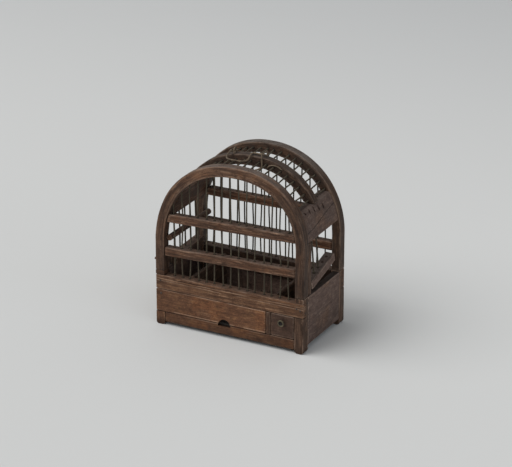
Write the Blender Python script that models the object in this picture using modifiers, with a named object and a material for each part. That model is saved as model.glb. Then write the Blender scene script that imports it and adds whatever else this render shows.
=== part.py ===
"""Miniature wooden birdcage with an arched wire roof.

A boxed base holds a litter tray and a small seed drawer. Two hoops on its legs, a rib and two
shoulder boards carry the wires, a wire door slides up on each side, and a wire bail folds over
the roof. The cage faces -Y and stands on +Z. All lengths are in metres.
"""
import math

import bmesh
import bpy
from mathutils import Matrix, Vector

# Whole cage
CAGE_WIDTH = 0.0900
CAGE_DEPTH = 0.0498
CAGE_HEIGHT = 0.0990
FIT_GAP = 0.0003
CUT_OVERRUN = 0.0010
EDGE_ROUND = 0.00035

# Legs, hoops and rib
LEG_WIDTH = 0.0052
CROWN_WIDTH = 0.0059
HOOP_DEPTH = 0.0057
SPRING_HEIGHT = 0.0518
FRONT_FULLNESS_SHARE = 2.24
REAR_FULLNESS_SHARE = 2.10
FRONT_LEAN = 0.0038
REAR_LEAN = 0.0005
REAR_CROWN_DROP = 0.0005
HOOP_STEPS = 32
FOOT_ROUND = 0.0016
FOOT_STEPS = 4
RIB_DEPTH = 0.0050
RIB_STEPS = 22

# Base
FOOT_HEIGHT = 0.0019
TRAY_FRONT_HEIGHT = 0.0057
PANEL_HEIGHT = 0.0129
PANEL_THICKNESS = 0.0030
BASE_RAIL_HEIGHT = 0.0082
LAP_DEPTH = 0.0028
SIDE_PANEL_LIFT = 0.0036
SIDE_PANEL_RISE = 0.0026
SIDE_PANEL_THICKNESS = 0.0040
SCRIBE_WIDTH = 0.0004
SCRIBE_DEPTH = 0.0003
SCRIBE_DROPS = (0.0016, 0.0029)
PARTITION_FROM_SIDE = 0.0194
PARTITION_THICKNESS = 0.0020
DIVIDER_FROM_SIDE = 0.0211
DIVIDER_WIDTH = 0.0027

# Finger notch over the tray
NOTCH_PLACE = -0.0028
NOTCH_WIDTH = 0.0080
NOTCH_HEIGHT = 0.0042
NOTCH_BOTTOM = 0.0065
NOTCH_STEPS = 12

# Litter tray
TRAY_FRONT_THICKNESS = 0.0024
TRAY_SHEET = 0.0008
TRAY_WALL_HEIGHT = 0.0042
TRAY_LIFT = 0.0030
RUNNER_HEIGHT = 0.0012
RUNNER_WIDTH = 0.0045
TRAY_REAR_CLEARANCE = 0.0015

# Seed drawer
DRAWER_FRONT_THICKNESS = 0.0022
DRAWER_GAP = 0.0005
DRAWER_WALL = 0.0010
DRAWER_LENGTH = 0.0260
DRAWER_WALL_DROP = 0.0018
SHELF_THICKNESS = 0.0010
KNOB_RADIUS = 0.00165
KNOB_NECK_RADIUS = 0.0008
KNOB_REACH = 0.0020
KNOB_RIM = 0.0006
KNOB_DISH = 0.0005
KNOB_RISE = 0.0023
KNOB_STEPS = 16

# Rails of the wire walls
RAIL_DEPTH = 0.0046
RAIL_RECESS = 0.0005
MIDDLE_RAIL_HEIGHT = 0.0049
UPPER_RAIL_HEIGHT = 0.0046
FRONT_RAIL_RISE = 0.0024
REAR_RAIL_RISE = 0.0004

# Places up the legs, between the base and the spring of the hoops
FRONT_MIDDLE_RAIL_SHARE = 0.511
REAR_MIDDLE_RAIL_SHARE = 0.587
PEG_SHARE = 0.387

# Places up the hoops, between their spring and their crown
FRONT_UPPER_RAIL_SHARE = 0.1864
REAR_UPPER_RAIL_SHARE = 0.2034
SHOULDER_BOTTOM_SHARE = 0.2161
SHOULDER_TOP_SHARE = 0.5445

# Wires of the walls and the roof
WIRE_DIAMETER = 0.00095
HOLE_CLEARANCE = 0.0004
HOLE_SIDES = 8
WALL_WIRE_COUNT = 15
WALL_WIRE_MARGIN = 0.00515
WIRE_SEAT = 0.0030
HOOP_SEAT = 0.0013
WIRE_WANDER = 0.0004
WIRE_BOW = 0.0003
ROOF_WIRES_PER_SIDE = 9
ROOF_WIRE_SEAT = 0.0014
ROOF_WIRE_START = 0.0013

# Shoulder boards and sliding doors
SHOULDER_INSET = 0.0004
SHOULDER_STEPS = 5
STILE_WIDTH = 0.0033
STILE_THICKNESS = 0.0030
DOOR_BAR_HEIGHT = 0.0048
DOOR_BAR_THICKNESS = 0.0055
DOOR_BAR_INSET = 0.0018
LEFT_DOOR_FRONT_GAP = 0.0010
RIGHT_DOOR_FRONT_GAP = 0.0042
DOOR_REAR_GAP = 0.0022
DOOR_HOLE_COUNT = 5
DOOR_WIRE_MARGIN = 0.0038
DOOR_WIRE_SHIFT = -0.0009
DOOR_WIRE_SEAT = 0.0026
DOOR_WIRE_REACH = 0.0070
RIGHT_DOOR_TILT = math.radians(10)
LEFT_DOOR_TILT = math.radians(2)
RIGHT_BAR_SKEW = math.radians(4)
RIGHT_DOOR_EMPTY_COUNT = 1
RIGHT_DOOR_WIRE_COUNT = 2

# Perch
PERCH_OVER_RAIL = 0.0018
PERCH_DIAMETER = 0.0034
PERCH_SIDES = 12

# Peg through the front hoop's left leg
PEG_RADIUS = 0.0007
PEG_REACH = 0.0010
PEG_SEAT = 0.0020
PEG_PLACE = 0.0014

# Bail with its staple and clip
BAIL_WIRE = 0.0009
BAIL_REACH = 0.0096
BAIL_DROP = 0.0022
BAIL_FLARE = 0.0002
BAIL_SPAN = 0.0124
BAIL_STAPLE_OFFSET = 0.0014
BAIL_PIN_OVERHANG = 0.0014
BAIL_CORNER = 0.0024
STAPLE_HALF_SPAN = 0.0013
STAPLE_SEAT = 0.0018
CLIP_DROP = 0.0046
CLIP_HOOK_RUN = 0.0038
CLIP_HOOK_DROP = 0.0026
WIRE_ARC_STEPS = 6
STAPLE_BAY_COUNT = 2
CLIP_BAY_COUNT = 1

# Derived places
HALF_WIDTH = CAGE_WIDTH / 2
HALF_DEPTH = CAGE_DEPTH / 2
LEG_INNER = HALF_WIDTH - LEG_WIDTH
HOOP_INNER = HALF_DEPTH - HOOP_DEPTH
HOOP_RISE = CAGE_HEIGHT - SPRING_HEIGHT
TRAY_FRONT_TOP = FOOT_HEIGHT + TRAY_FRONT_HEIGHT
PANEL_BOTTOM = TRAY_FRONT_TOP + FIT_GAP
PANEL_TOP = PANEL_BOTTOM + PANEL_HEIGHT
BASE_RAIL_BOTTOM = PANEL_TOP + FIT_GAP
BASE_TOP = BASE_RAIL_BOTTOM + BASE_RAIL_HEIGHT
SIDE_PANEL_TOP = BASE_TOP + SIDE_PANEL_RISE
HOOP_FOOT = SIDE_PANEL_TOP + FIT_GAP
LEG_RISE = SPRING_HEIGHT - BASE_TOP
FRONT_MIDDLE_RAIL_BOTTOM = BASE_TOP + FRONT_MIDDLE_RAIL_SHARE * LEG_RISE
REAR_MIDDLE_RAIL_BOTTOM = BASE_TOP + REAR_MIDDLE_RAIL_SHARE * LEG_RISE
PERCH_HEIGHT = REAR_MIDDLE_RAIL_BOTTOM + MIDDLE_RAIL_HEIGHT + PERCH_OVER_RAIL + PERCH_DIAMETER / 2
PEG_HEIGHT = BASE_TOP + PEG_SHARE * LEG_RISE
FRONT_UPPER_RAIL_BOTTOM = SPRING_HEIGHT + FRONT_UPPER_RAIL_SHARE * HOOP_RISE
REAR_UPPER_RAIL_BOTTOM = SPRING_HEIGHT + REAR_UPPER_RAIL_SHARE * HOOP_RISE
SHOULDER_BOTTOM = SPRING_HEIGHT + SHOULDER_BOTTOM_SHARE * HOOP_RISE
SHOULDER_TOP = SPRING_HEIGHT + SHOULDER_TOP_SHARE * HOOP_RISE
BETWEEN_LEGS = LEG_INNER - FIT_GAP
BETWEEN_HOOPS = HOOP_INNER - FIT_GAP
SIDE_PANEL_INNER = HALF_WIDTH - SIDE_PANEL_THICKNESS
PARTITION_PLACE = HALF_WIDTH - PARTITION_FROM_SIDE
PARTITION_OUTER = PARTITION_PLACE + PARTITION_THICKNESS / 2
DIVIDER_PLACE = HALF_WIDTH - DIVIDER_FROM_SIDE
DIVIDER_LEFT = DIVIDER_PLACE - DIVIDER_WIDTH / 2
DIVIDER_RIGHT = DIVIDER_PLACE + DIVIDER_WIDTH / 2
ROOF_WIRE_COUNT = 2 * ROOF_WIRES_PER_SIDE + 1
WIRE_PLANE = HALF_DEPTH - RAIL_RECESS - RAIL_DEPTH / 2
WIRE_RADIUS = WIRE_DIAMETER / 2
HOLE_RADIUS = WIRE_RADIUS + HOLE_CLEARANCE
WALL_WIRE_PITCH = 2 * (LEG_INNER - WALL_WIRE_MARGIN) / (WALL_WIRE_COUNT - 1)
DOOR_WIRE_TOP = SHOULDER_BOTTOM + DOOR_WIRE_REACH
DOOR_PLANE = HALF_WIDTH - DOOR_BAR_INSET - DOOR_BAR_THICKNESS / 2
TRAY_BACK = HALF_DEPTH - PANEL_THICKNESS - TRAY_REAR_CLEARANCE
RIB_CROWN = CAGE_HEIGHT - REAR_CROWN_DROP / 2
BAIL_AXIS_HEIGHT = RIB_CROWN + FIT_GAP + BAIL_WIRE / 2
FRAME_SHIFT_Y = (KNOB_REACH + FIT_GAP) / 2

# Colours, roughness and metallic value of each finish
FINISHES = {
    "warm_oak": ((0.165, 0.085, 0.048), 0.55, 0.0),
    "worn_oak": ((0.125, 0.078, 0.055), 0.62, 0.0),
    "dark_oak": ((0.060, 0.038, 0.028), 0.66, 0.0),
    "iron_wire": ((0.070, 0.058, 0.045), 0.50, 0.6),
    "dull_tin": ((0.160, 0.150, 0.140), 0.50, 0.8),
    "bright_wire": ((0.30, 0.25, 0.19), 0.42, 0.7),
    "brass": ((0.33, 0.25, 0.11), 0.38, 0.8),
}

COLLECTION_NAME = "wooden_birdcage"
HELPER_COLLECTION_NAME = "cutters_and_joined_wires"


def clear_scene():
    """Remove every object that the file starts with."""
    for existing in list(bpy.data.objects):
        bpy.data.objects.remove(existing, do_unlink=True)


def new_collection(name):
    """Make a collection in the scene."""
    collection = bpy.data.collections.new(name)
    bpy.context.scene.collection.children.link(collection)
    return collection


def make_finish(node, finish):
    """Give one piece its own Principled material."""
    colour, roughness, metallic = FINISHES[finish]
    material = bpy.data.materials.new(node + "_finish")
    material.use_nodes = True
    shader = material.node_tree.nodes["Principled BSDF"]
    shader.inputs["Base Color"].default_value = (*colour, 1.0)
    shader.inputs["Roughness"].default_value = roughness
    shader.inputs["Metallic"].default_value = metallic
    material.diffuse_color = (*colour, 1.0)
    return material


class Workshop:
    """Holds the two collections and the empty that carries the cage."""

    def __init__(self):
        self.parts = new_collection(COLLECTION_NAME)
        self.helpers = new_collection(HELPER_COLLECTION_NAME)
        shift = (HALF_WIDTH + PEG_REACH - hoop_reach(-HALF_DEPTH)) / 2
        self.frame = self.empty("cage_frame", (shift, FRAME_SHIFT_Y, 0))

    def empty(self, name, location, tilt=0.0, parent=None):
        """Add an empty that carries pieces, turned by tilt about X."""
        holder = bpy.data.objects.new(name, None)
        holder.location = location
        holder.rotation_euler = (tilt, 0, 0)
        holder.parent = parent
        self.parts.objects.link(holder)
        return holder

    def place(self, name, mesh, finish, location=(0, 0, 0), rotation=(0, 0, 0), parent=None):
        """Link a finished piece to the cage."""
        piece = bpy.data.objects.new(name, mesh)
        piece.data.materials.clear()
        piece.data.materials.append(make_finish(name, finish))
        piece.location = location
        piece.rotation_euler = rotation
        piece.parent = parent or self.frame
        self.parts.objects.link(piece)
        return piece

    def combine(self, piece, name, mesh, operation, parent=None):
        """Cut a piece with a mesh, or join the mesh to it; the mesh stays in its own collection."""
        helper = bpy.data.objects.new(name, mesh)
        helper.parent = parent or self.frame
        helper.display_type = "WIRE"
        helper.hide_render = True
        self.helpers.objects.link(helper)
        boolean = piece.modifiers.new(name, "BOOLEAN")
        boolean.operation = operation
        boolean.solver = "EXACT"
        boolean.object = helper

    def cut(self, piece, name, mesh, parent=None):
        """Cut a mesh out of a piece."""
        self.combine(piece, name, mesh, "DIFFERENCE", parent)

    def join(self, piece, name, mesh, parent=None):
        """Join a mesh to a piece."""
        self.combine(piece, name, mesh, "UNION", parent)


def round_edges(piece, width=EDGE_ROUND):
    """Break the sharp edges of a piece."""
    bevel = piece.modifiers.new("edges", "BEVEL")
    bevel.width = width
    bevel.segments = 1
    bevel.limit_method = "ANGLE"
    bevel.angle_limit = math.radians(40)


def boxes_mesh(name, corners):
    """Make one mesh of boxes, each between two opposite corners."""
    mesh = bpy.data.meshes.new(name)
    shape = bmesh.new()
    for first, second in corners:
        size = [abs(b - a) for a, b in zip(first, second)]
        centre = [(a + b) / 2 for a, b in zip(first, second)]
        matrix = Matrix.Translation(centre) @ Matrix.Diagonal((*size, 1))
        bmesh.ops.create_cube(shape, size=1, matrix=matrix)
    shape.to_mesh(mesh)
    shape.free()
    return mesh


def board(shop, name, low, high, finish, parent=None):
    """Add a straight board with broken edges."""
    piece = shop.place(name, boxes_mesh(name, [(low, high)]), finish, parent=parent)
    round_edges(piece)
    return piece


def rods_mesh(name, rods, radius):
    """Make one mesh of straight round rods, each given by its two ends."""
    mesh = bpy.data.meshes.new(name)
    shape = bmesh.new()
    for start, end in rods:
        start = Vector(start)
        along = Vector(end) - start
        turn = along.to_track_quat("Z", "Y").to_matrix().to_4x4()
        matrix = Matrix.Translation(start + along / 2) @ turn
        bmesh.ops.create_cone(
            shape, cap_ends=True, cap_tris=False, segments=HOLE_SIDES,
            radius1=radius, radius2=radius, depth=along.length, matrix=matrix,
        )
    shape.to_mesh(mesh)
    shape.free()
    return mesh


def curve_to_mesh(name, curve):
    """Turn a curve into a closed mesh with welded caps."""
    holder = bpy.data.objects.new(name, curve)
    bpy.context.scene.collection.objects.link(holder)
    graph = bpy.context.evaluated_depsgraph_get()
    mesh = bpy.data.meshes.new_from_object(holder.evaluated_get(graph))
    bpy.data.objects.remove(holder, do_unlink=True)
    bpy.data.curves.remove(curve)
    shape = bmesh.new()
    shape.from_mesh(mesh)
    bmesh.ops.remove_doubles(shape, verts=shape.verts, dist=EDGE_ROUND / 20)
    shape.to_mesh(mesh)
    shape.free()
    mesh.name = name
    return mesh


def outline_mesh(name, outline, thickness, turn, centre=(0, 0, 0)):
    """Extrude a flat outline both ways by half its thickness, then turn and move it."""
    curve = bpy.data.curves.new(name, "CURVE")
    curve.dimensions = "2D"
    curve.fill_mode = "BOTH"
    curve.extrude = thickness / 2
    spline = curve.splines.new("POLY")
    spline.points.add(len(outline) - 1)
    for point, (first, second) in zip(spline.points, outline):
        point.co = (first, second, 0, 1)
    spline.use_cyclic_u = True
    mesh = curve_to_mesh(name, curve)
    mesh.transform(Matrix.Translation(centre) @ turn)
    return mesh


# Turn that stands an outline up as seen from the front
FRONT_VIEW = Matrix.Rotation(math.radians(90), 4, "X")


def strip_mesh(name, front, rear, front_rows, rear_rows):
    """Loft a solid band between two depths; each has an outer and an inner row of points."""
    mesh = bpy.data.meshes.new(name)
    shape = bmesh.new()
    sections = []
    for near_outer, near_inner, far_outer, far_inner in zip(*front_rows, *rear_rows):
        corners = ((near_outer, front), (far_outer, rear), (far_inner, rear), (near_inner, front))
        sections.append([shape.verts.new((x, y, z)) for (x, z), y in corners])
    for first, second in zip(sections, sections[1:]):
        for corner in range(4):
            after = (corner + 1) % 4
            shape.faces.new((first[corner], first[after], second[after], second[corner]))
    shape.faces.new(sections[0])
    shape.faces.new(sections[-1])
    bmesh.ops.recalc_face_normals(shape, faces=shape.faces)
    shape.to_mesh(mesh)
    shape.free()
    return mesh


def wire_mesh(name, paths, diameter):
    """Make one mesh of round wires, one closed tube for each path of points."""
    curve = bpy.data.curves.new(name, "CURVE")
    curve.dimensions = "3D"
    curve.bevel_depth = diameter / 2
    curve.bevel_resolution = 2
    curve.use_fill_caps = True
    for path in paths:
        spline = curve.splines.new("POLY")
        spline.points.add(len(path) - 1)
        for point, place in zip(spline.points, path):
            point.co = (*place, 1)
    mesh = curve_to_mesh(name, curve)
    mesh.shade_smooth()
    mesh.set_sharp_from_angle(angle=math.radians(50))
    return mesh


def oval_shape(y):
    """Lean, fullness and rise of the cage's oval at one depth, between the front and rear hoops."""
    share = (y + HOOP_INNER) / (2 * HOOP_INNER)
    share = min(max(share, 0), 1)
    lean = FRONT_LEAN + (REAR_LEAN - FRONT_LEAN) * share
    fullness = FRONT_FULLNESS_SHARE + (REAR_FULLNESS_SHARE - FRONT_FULLNESS_SHARE) * share
    return lean, fullness, HOOP_RISE - REAR_CROWN_DROP * share


def hoop_point(angle, side_inset, crown_inset, y):
    """A point of the leaning half oval at one depth, from the right spring to the left one."""
    lean, fullness, rise = oval_shape(y)
    height = (rise - crown_inset) * math.sin(angle) ** (2 / fullness)
    cosine = math.cos(angle)
    reach = (HALF_WIDTH - side_inset) * math.copysign(abs(cosine) ** (2 / fullness), cosine)
    return reach + lean * height / rise, SPRING_HEIGHT + height


def hoop_reach(y):
    """How far the leaning oval reaches to the right at one depth."""
    angles = [math.pi * step / HOOP_STEPS for step in range(HOOP_STEPS + 1)]
    return max(hoop_point(angle, 0, 0, y)[0] for angle in angles)


def hoop_side(height, side, side_inset, crown_inset, y):
    """Where one side of the leaning oval lies at a height and a depth; side is 1 or -1."""
    lean, fullness, rise = oval_shape(y)
    climb = max(height - SPRING_HEIGHT, 0)
    half_width = (HALF_WIDTH - side_inset) * (1 - (climb / (rise - crown_inset)) ** fullness) ** (1 / fullness)
    return side * half_width + lean * climb / rise


def hoop_height(x, side_inset, crown_inset, y):
    """Height of the leaning oval over a place, found by halving the angle."""
    low, high = 0.0, math.pi
    for _ in range(40):
        middle = (low + high) / 2
        if hoop_point(middle, side_inset, crown_inset, y)[0] > x:
            low = middle
        else:
            high = middle
    return hoop_point(low, side_inset, crown_inset, y)[1]


def hoop_angle(height, side_inset, crown_inset, y):
    """The angle on the right half of the oval at a height."""
    _, fullness, rise = oval_shape(y)
    share = (height - SPRING_HEIGHT) / (rise - crown_inset)
    return math.asin(share ** (fullness / 2))


def wander(index, level):
    """The small offset of a wire that was set by hand, the same on every run."""
    return WIRE_WANDER * math.sin(2.4 * index + 1.7 * level + index * level)


def leg_outline(side):
    """Front outline of a leg with its two rounded foot corners."""
    inner = side * LEG_INNER
    outer = side * HALF_WIDTH
    low, high = min(inner, outer), max(inner, outer)
    outline = [(low, SIDE_PANEL_TOP)]
    for corner, start in ((low + FOOT_ROUND, 180), (high - FOOT_ROUND, 270)):
        for step in range(FOOT_STEPS + 1):
            angle = math.radians(start + 90 * step / FOOT_STEPS)
            outline.append((corner + FOOT_ROUND * math.cos(angle),
                            FOOT_ROUND + FOOT_ROUND * math.sin(angle)))
    outline.append((high, SIDE_PANEL_TOP))
    return outline


def base_top(facing):
    """Top of a base rail; the rear one is as high as the side panels."""
    return BASE_TOP if facing < 0 else SIDE_PANEL_TOP


def build_legs(shop):
    """Four short legs, each notched on its outer face for what laps over it."""
    for wall, facing in (("front", -1), ("rear", 1)):
        for hand, side in (("left", -1), ("right", 1)):
            name = f"{wall}_{hand}_leg"
            centre = (0, facing * (HALF_DEPTH - HOOP_DEPTH / 2), 0)
            mesh = outline_mesh(name, leg_outline(side), HOOP_DEPTH, FRONT_VIEW, centre)
            leg = shop.place(name, mesh, "worn_oak")
            round_edges(leg)
            lap_bottom = PANEL_BOTTOM if facing < 0 and side < 0 else BASE_RAIL_BOTTOM
            outer = (side * (HALF_WIDTH + CUT_OVERRUN), facing * (HALF_DEPTH + CUT_OVERRUN),
                     lap_bottom - FIT_GAP)
            inner = (side * (LEG_INNER - CUT_OVERRUN), facing * (HALF_DEPTH - LAP_DEPTH - FIT_GAP),
                     base_top(facing) + FIT_GAP)
            shop.cut(leg, name + "_notch", boxes_mesh(name + "_notch", [(outer, inner)]))


def wall_wire_x(index, level, facing):
    """Where a wall wire crosses a level: base, middle rail, upper rail or hoop."""
    place = (index - (WALL_WIRE_COUNT - 1) / 2) * WALL_WIRE_PITCH
    return place + wander(index if facing < 0 else index + WALL_WIRE_COUNT, level)


def hoop_hole(x, facing):
    """Low and high end of the blind hole in a hoop's underside for a wall wire."""
    y = facing * HALF_DEPTH
    sides = [hoop_height(x + step * HOLE_RADIUS, LEG_WIDTH, CROWN_WIDTH, y) for step in (-1, 1)]
    return min(sides) - CUT_OVERRUN, max(sides) + HOOP_SEAT


def roof_wire_angle(index):
    """The angle of a roof wire, spaced evenly along the middle line of the rib."""
    side_inset, crown_inset = LEG_WIDTH / 2, CROWN_WIDTH / 2
    start = hoop_angle(SHOULDER_TOP + ROOF_WIRE_START, side_inset, crown_inset, 0)
    fine_steps = 400
    angles = [start + (math.pi / 2 - start) * step / fine_steps for step in range(fine_steps + 1)]
    points = [Vector(hoop_point(angle, side_inset, crown_inset, 0)) for angle in angles]
    lengths = [0.0]
    for first, second in zip(points, points[1:]):
        lengths.append(lengths[-1] + (second - first).length)
    from_side = min(index, 2 * ROOF_WIRES_PER_SIDE - index)
    target = lengths[-1] * from_side / ROOF_WIRES_PER_SIDE
    step = next(place for place, length in enumerate(lengths) if length >= target - WIRE_BOW / 100)
    angle = angles[step]
    return angle if index <= ROOF_WIRES_PER_SIDE else math.pi - angle


def roof_wire_point(index, station):
    """Where a roof wire crosses the front hoop (-1), the rib (0) or the rear hoop (1)."""
    side_inset, crown_inset = LEG_WIDTH / 2, CROWN_WIDTH / 2
    angle = roof_wire_angle(index) + wander(index, station + 1) / HOOP_RISE
    return hoop_point(angle, side_inset, crown_inset, station * HOOP_INNER)


def hoop_rows(y, angles):
    """Outer and inner row of the oval at one depth for a row of angles."""
    both_insets = ((0, 0), (LEG_WIDTH, CROWN_WIDTH))
    return [[hoop_point(angle, *insets, y) for angle in angles] for insets in both_insets]


def build_hoop(shop, name, facing):
    """One hoop, bent from foot to foot, with blind holes for the wall wires and the roof wires."""
    angles = [math.pi * step / HOOP_STEPS for step in range(HOOP_STEPS + 1)]
    rows = hoop_rows(facing * HALF_DEPTH, angles)
    for row in rows:
        reach = row[0][0]
        row.insert(0, (reach, HOOP_FOOT))
        row.append((-reach, HOOP_FOOT))
    front, rear = sorted((facing * HALF_DEPTH, facing * HOOP_INNER))
    hoop = shop.place(name, strip_mesh(name, front, rear, rows, rows), "worn_oak")
    round_edges(hoop)
    rods = []
    for index in range(WALL_WIRE_COUNT):
        x = wall_wire_x(index, 3, facing)
        low, high = hoop_hole(x, facing)
        rods.append(((x, facing * WIRE_PLANE, low), (x, facing * WIRE_PLANE, high)))
    for index in range(ROOF_WIRE_COUNT):
        x, z = roof_wire_point(index, facing)
        mouth = facing * (HOOP_INNER - CUT_OVERRUN)
        floor = facing * (HOOP_INNER + ROOF_WIRE_SEAT)
        rods.append(((x, mouth, z), (x, floor, z)))
    shop.cut(hoop, name + "_holes", rods_mesh(name + "_holes", rods, HOLE_RADIUS))


def roof_wire_path(index):
    """One roof wire from the front hoop, through the rib, into the rear hoop."""
    front, rib, rear = [roof_wire_point(index, station) for station in (-1, 0, 1)]
    end = HOOP_INNER + ROOF_WIRE_SEAT - FIT_GAP
    mouth = HOOP_INNER - WIRE_RADIUS
    places = ((front, -end), (front, -mouth), (rib, 0), (rear, mouth), (rear, end))
    return [(x, y, z) for (x, z), y in places]


def build_rib(shop):
    """The middle rib on the shoulder boards, drilled for each roof wire along its slant."""
    bottom = SHOULDER_TOP + FIT_GAP
    rows = []
    for insets in ((0, 0), (LEG_WIDTH, CROWN_WIDTH)):
        start = hoop_angle(bottom, *insets, 0)
        sweep = math.pi - 2 * start
        angles = [start + sweep * step / RIB_STEPS for step in range(RIB_STEPS + 1)]
        rows.append([hoop_point(angle, *insets, 0) for angle in angles])
    mesh = strip_mesh("middle_rib", -RIB_DEPTH / 2, RIB_DEPTH / 2, rows, rows)
    rib = shop.place("middle_rib", mesh, "warm_oak")
    round_edges(rib)
    rods = []
    for index in range(ROOF_WIRE_COUNT):
        _, before, middle, after, _ = [Vector(point) for point in roof_wire_path(index)]
        slant = (after - before) / (after.y - before.y) * (RIB_DEPTH / 2 + CUT_OVERRUN)
        rods.append((middle - slant, middle + slant))
    shop.cut(rib, "middle_rib_holes", rods_mesh("middle_rib_holes", rods, HOLE_RADIUS))
    place = staple_place()
    top = CAGE_HEIGHT + CUT_OVERRUN
    floor = rib_top(place) - STAPLE_SEAT - FIT_GAP
    rods = [((place, y, floor), (place, y, top)) for y in (-STAPLE_HALF_SPAN, STAPLE_HALF_SPAN)]
    radius = BAIL_WIRE / 2 + FIT_GAP
    shop.cut(rib, "middle_rib_staple_holes", rods_mesh("middle_rib_staple_holes", rods, radius))


def build_roof_wires(shop):
    """The roof wires, numbered from the right shoulder to the left one."""
    for index in range(ROOF_WIRE_COUNT):
        name = f"roof_wire_{index + 1:02d}"
        shop.place(name, wire_mesh(name, [roof_wire_path(index)], WIRE_DIAMETER), "iron_wire")


def rib_top(x):
    """Height of the rib's upper surface."""
    return hoop_height(x, 0, 0, 0)


def between_roof_wires(bays):
    """The middle of a bay between two roof wires, so many bays from the crown wire to the left."""
    step = math.copysign(1, bays)
    first = roof_wire_point(ROOF_WIRES_PER_SIDE + bays, 0)[0]
    second = roof_wire_point(ROOF_WIRES_PER_SIDE + bays + int(step), 0)[0]
    return (first + second) / 2


def staple_place():
    """Where the staple stands on the rib."""
    return between_roof_wires(STAPLE_BAY_COUNT)


def clip_place():
    """Where the clip hangs over the rib."""
    return between_roof_wires(-CLIP_BAY_COUNT)


class Door:
    """One sliding door: the tilt of its wires, the skew of its bar on them and its front end."""

    def __init__(self, hand, side, tilt, skew, front_gap):
        self.hand = hand
        self.side = side
        self.tilt = tilt
        self.skew = skew
        front = STILE_WIDTH - BETWEEN_HOOPS + front_gap
        rear = HOOP_INNER - DOOR_REAR_GAP
        self.length = rear - front
        self.depth = (rear + front) / 2
        slope = tilt + skew
        self.height = HOOP_FOOT + (self.length * math.sin(slope) + DOOR_BAR_HEIGHT * math.cos(slope)) / 2
        self.pitch = (self.length - 2 * DOOR_WIRE_MARGIN) / (DOOR_HOLE_COUNT - 1)

    def along(self, index):
        """Where a wire stands along the bar, measured from the bar's middle."""
        return DOOR_WIRE_SHIFT + (index - (DOOR_HOLE_COUNT - 1) / 2) * self.pitch

    def seat(self, index):
        """Floor of a wire's hole in the bar, measured up the wire from the bar's middle."""
        top = DOOR_BAR_HEIGHT / 2 / math.cos(self.skew) + self.along(index) * math.tan(self.skew)
        return top - DOOR_WIRE_SEAT

    def point(self, index, height):
        """The point of a wire's line at a height."""
        start_y = self.depth + self.along(index) * math.cos(self.tilt)
        start_z = self.height + self.along(index) * math.sin(self.tilt)
        return self.side * DOOR_PLANE, start_y - (height - start_z) * math.tan(self.tilt), height

    def wire_path(self, index, clearance):
        """A wire from its foot in the bar to its top inside the shoulder board."""
        along = self.along(index)
        foot = self.seat(index) + clearance
        top = (DOOR_WIRE_TOP - self.height) / math.cos(self.tilt)
        return (0, along, foot), (0, along + WIRE_BOW, (foot + top) / 2), (0, along, top)


def left_door():
    """The left door, which hangs nearly upright."""
    return Door("left", -1, LEFT_DOOR_TILT, 0, LEFT_DOOR_FRONT_GAP)


def right_door():
    """The right door, which hangs aslant."""
    return Door("right", 1, RIGHT_DOOR_TILT, RIGHT_BAR_SKEW, RIGHT_DOOR_FRONT_GAP)


def build_shoulder_boards(shop):
    """Boards between the hoops that follow their curve and lean, bored for the door wires."""
    span = SHOULDER_TOP - SHOULDER_BOTTOM
    heights = [SHOULDER_BOTTOM + span * step / SHOULDER_STEPS for step in range(SHOULDER_STEPS + 1)]
    for door in (left_door(), right_door()):
        name = f"{door.hand}_shoulder_board"
        ends = []
        for y in (-BETWEEN_HOOPS, BETWEEN_HOOPS):
            outer = [(hoop_side(z, door.side, SHOULDER_INSET, SHOULDER_INSET, y), z) for z in heights]
            inner = [(hoop_side(z, door.side, LEG_WIDTH, CROWN_WIDTH, y), z) for z in heights]
            ends.append((outer, inner))
        piece = shop.place(name, strip_mesh(name, -BETWEEN_HOOPS, BETWEEN_HOOPS, *ends), "worn_oak")
        round_edges(piece)
        rods = []
        for index in range(DOOR_HOLE_COUNT):
            low = door.point(index, SHOULDER_BOTTOM - CUT_OVERRUN)
            high = door.point(index, SHOULDER_TOP + CUT_OVERRUN)
            rods.append((low, high))
        shop.cut(piece, name + "_bores", rods_mesh(name + "_bores", rods, HOLE_RADIUS))


def build_door_bar(shop, door, name):
    """The empty on which a door slides, and its wooden bar."""
    place = (door.side * DOOR_PLANE, door.depth, door.height)
    holder = shop.empty(f"{door.hand}_door_slide", place, door.tilt, shop.frame)
    half_size = Vector((DOOR_BAR_THICKNESS, door.length, DOOR_BAR_HEIGHT)) / 2
    bar = board(shop, name, -half_size, half_size, "worn_oak", parent=holder)
    bar.rotation_euler = (door.skew, 0, 0)
    return holder, bar


def build_doors(shop):
    """The sliding door at each side, turned as it hangs in its bores."""
    # The left door keeps all its wires
    door = left_door()
    holder, bar = build_door_bar(shop, door, "left_door")
    paths = [door.wire_path(index, 0) for index in range(DOOR_HOLE_COUNT)]
    shop.join(bar, "left_door_wires", wire_mesh("left_door_wires", paths, WIRE_DIAMETER), parent=holder)

    # The right door has lost some, and their holes stand empty
    door = right_door()
    holder, bar = build_door_bar(shop, door, "right_door_bar")
    rods = []
    for index in range(DOOR_HOLE_COUNT):
        along = door.along(index)
        floor = door.seat(index)
        rods.append(((0, along, floor), (0, along, floor + DOOR_WIRE_SEAT + CUT_OVERRUN)))
    shop.cut(bar, "right_door_holes", rods_mesh("right_door_holes", rods, HOLE_RADIUS), parent=holder)
    for number in range(RIGHT_DOOR_WIRE_COUNT):
        path = door.wire_path(number + RIGHT_DOOR_EMPTY_COUNT, FIT_GAP)
        wire = f"right_door_wire_{number + 1}"
        shop.place(wire, wire_mesh(wire, [path], WIRE_DIAMETER), "iron_wire", parent=holder)


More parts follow.
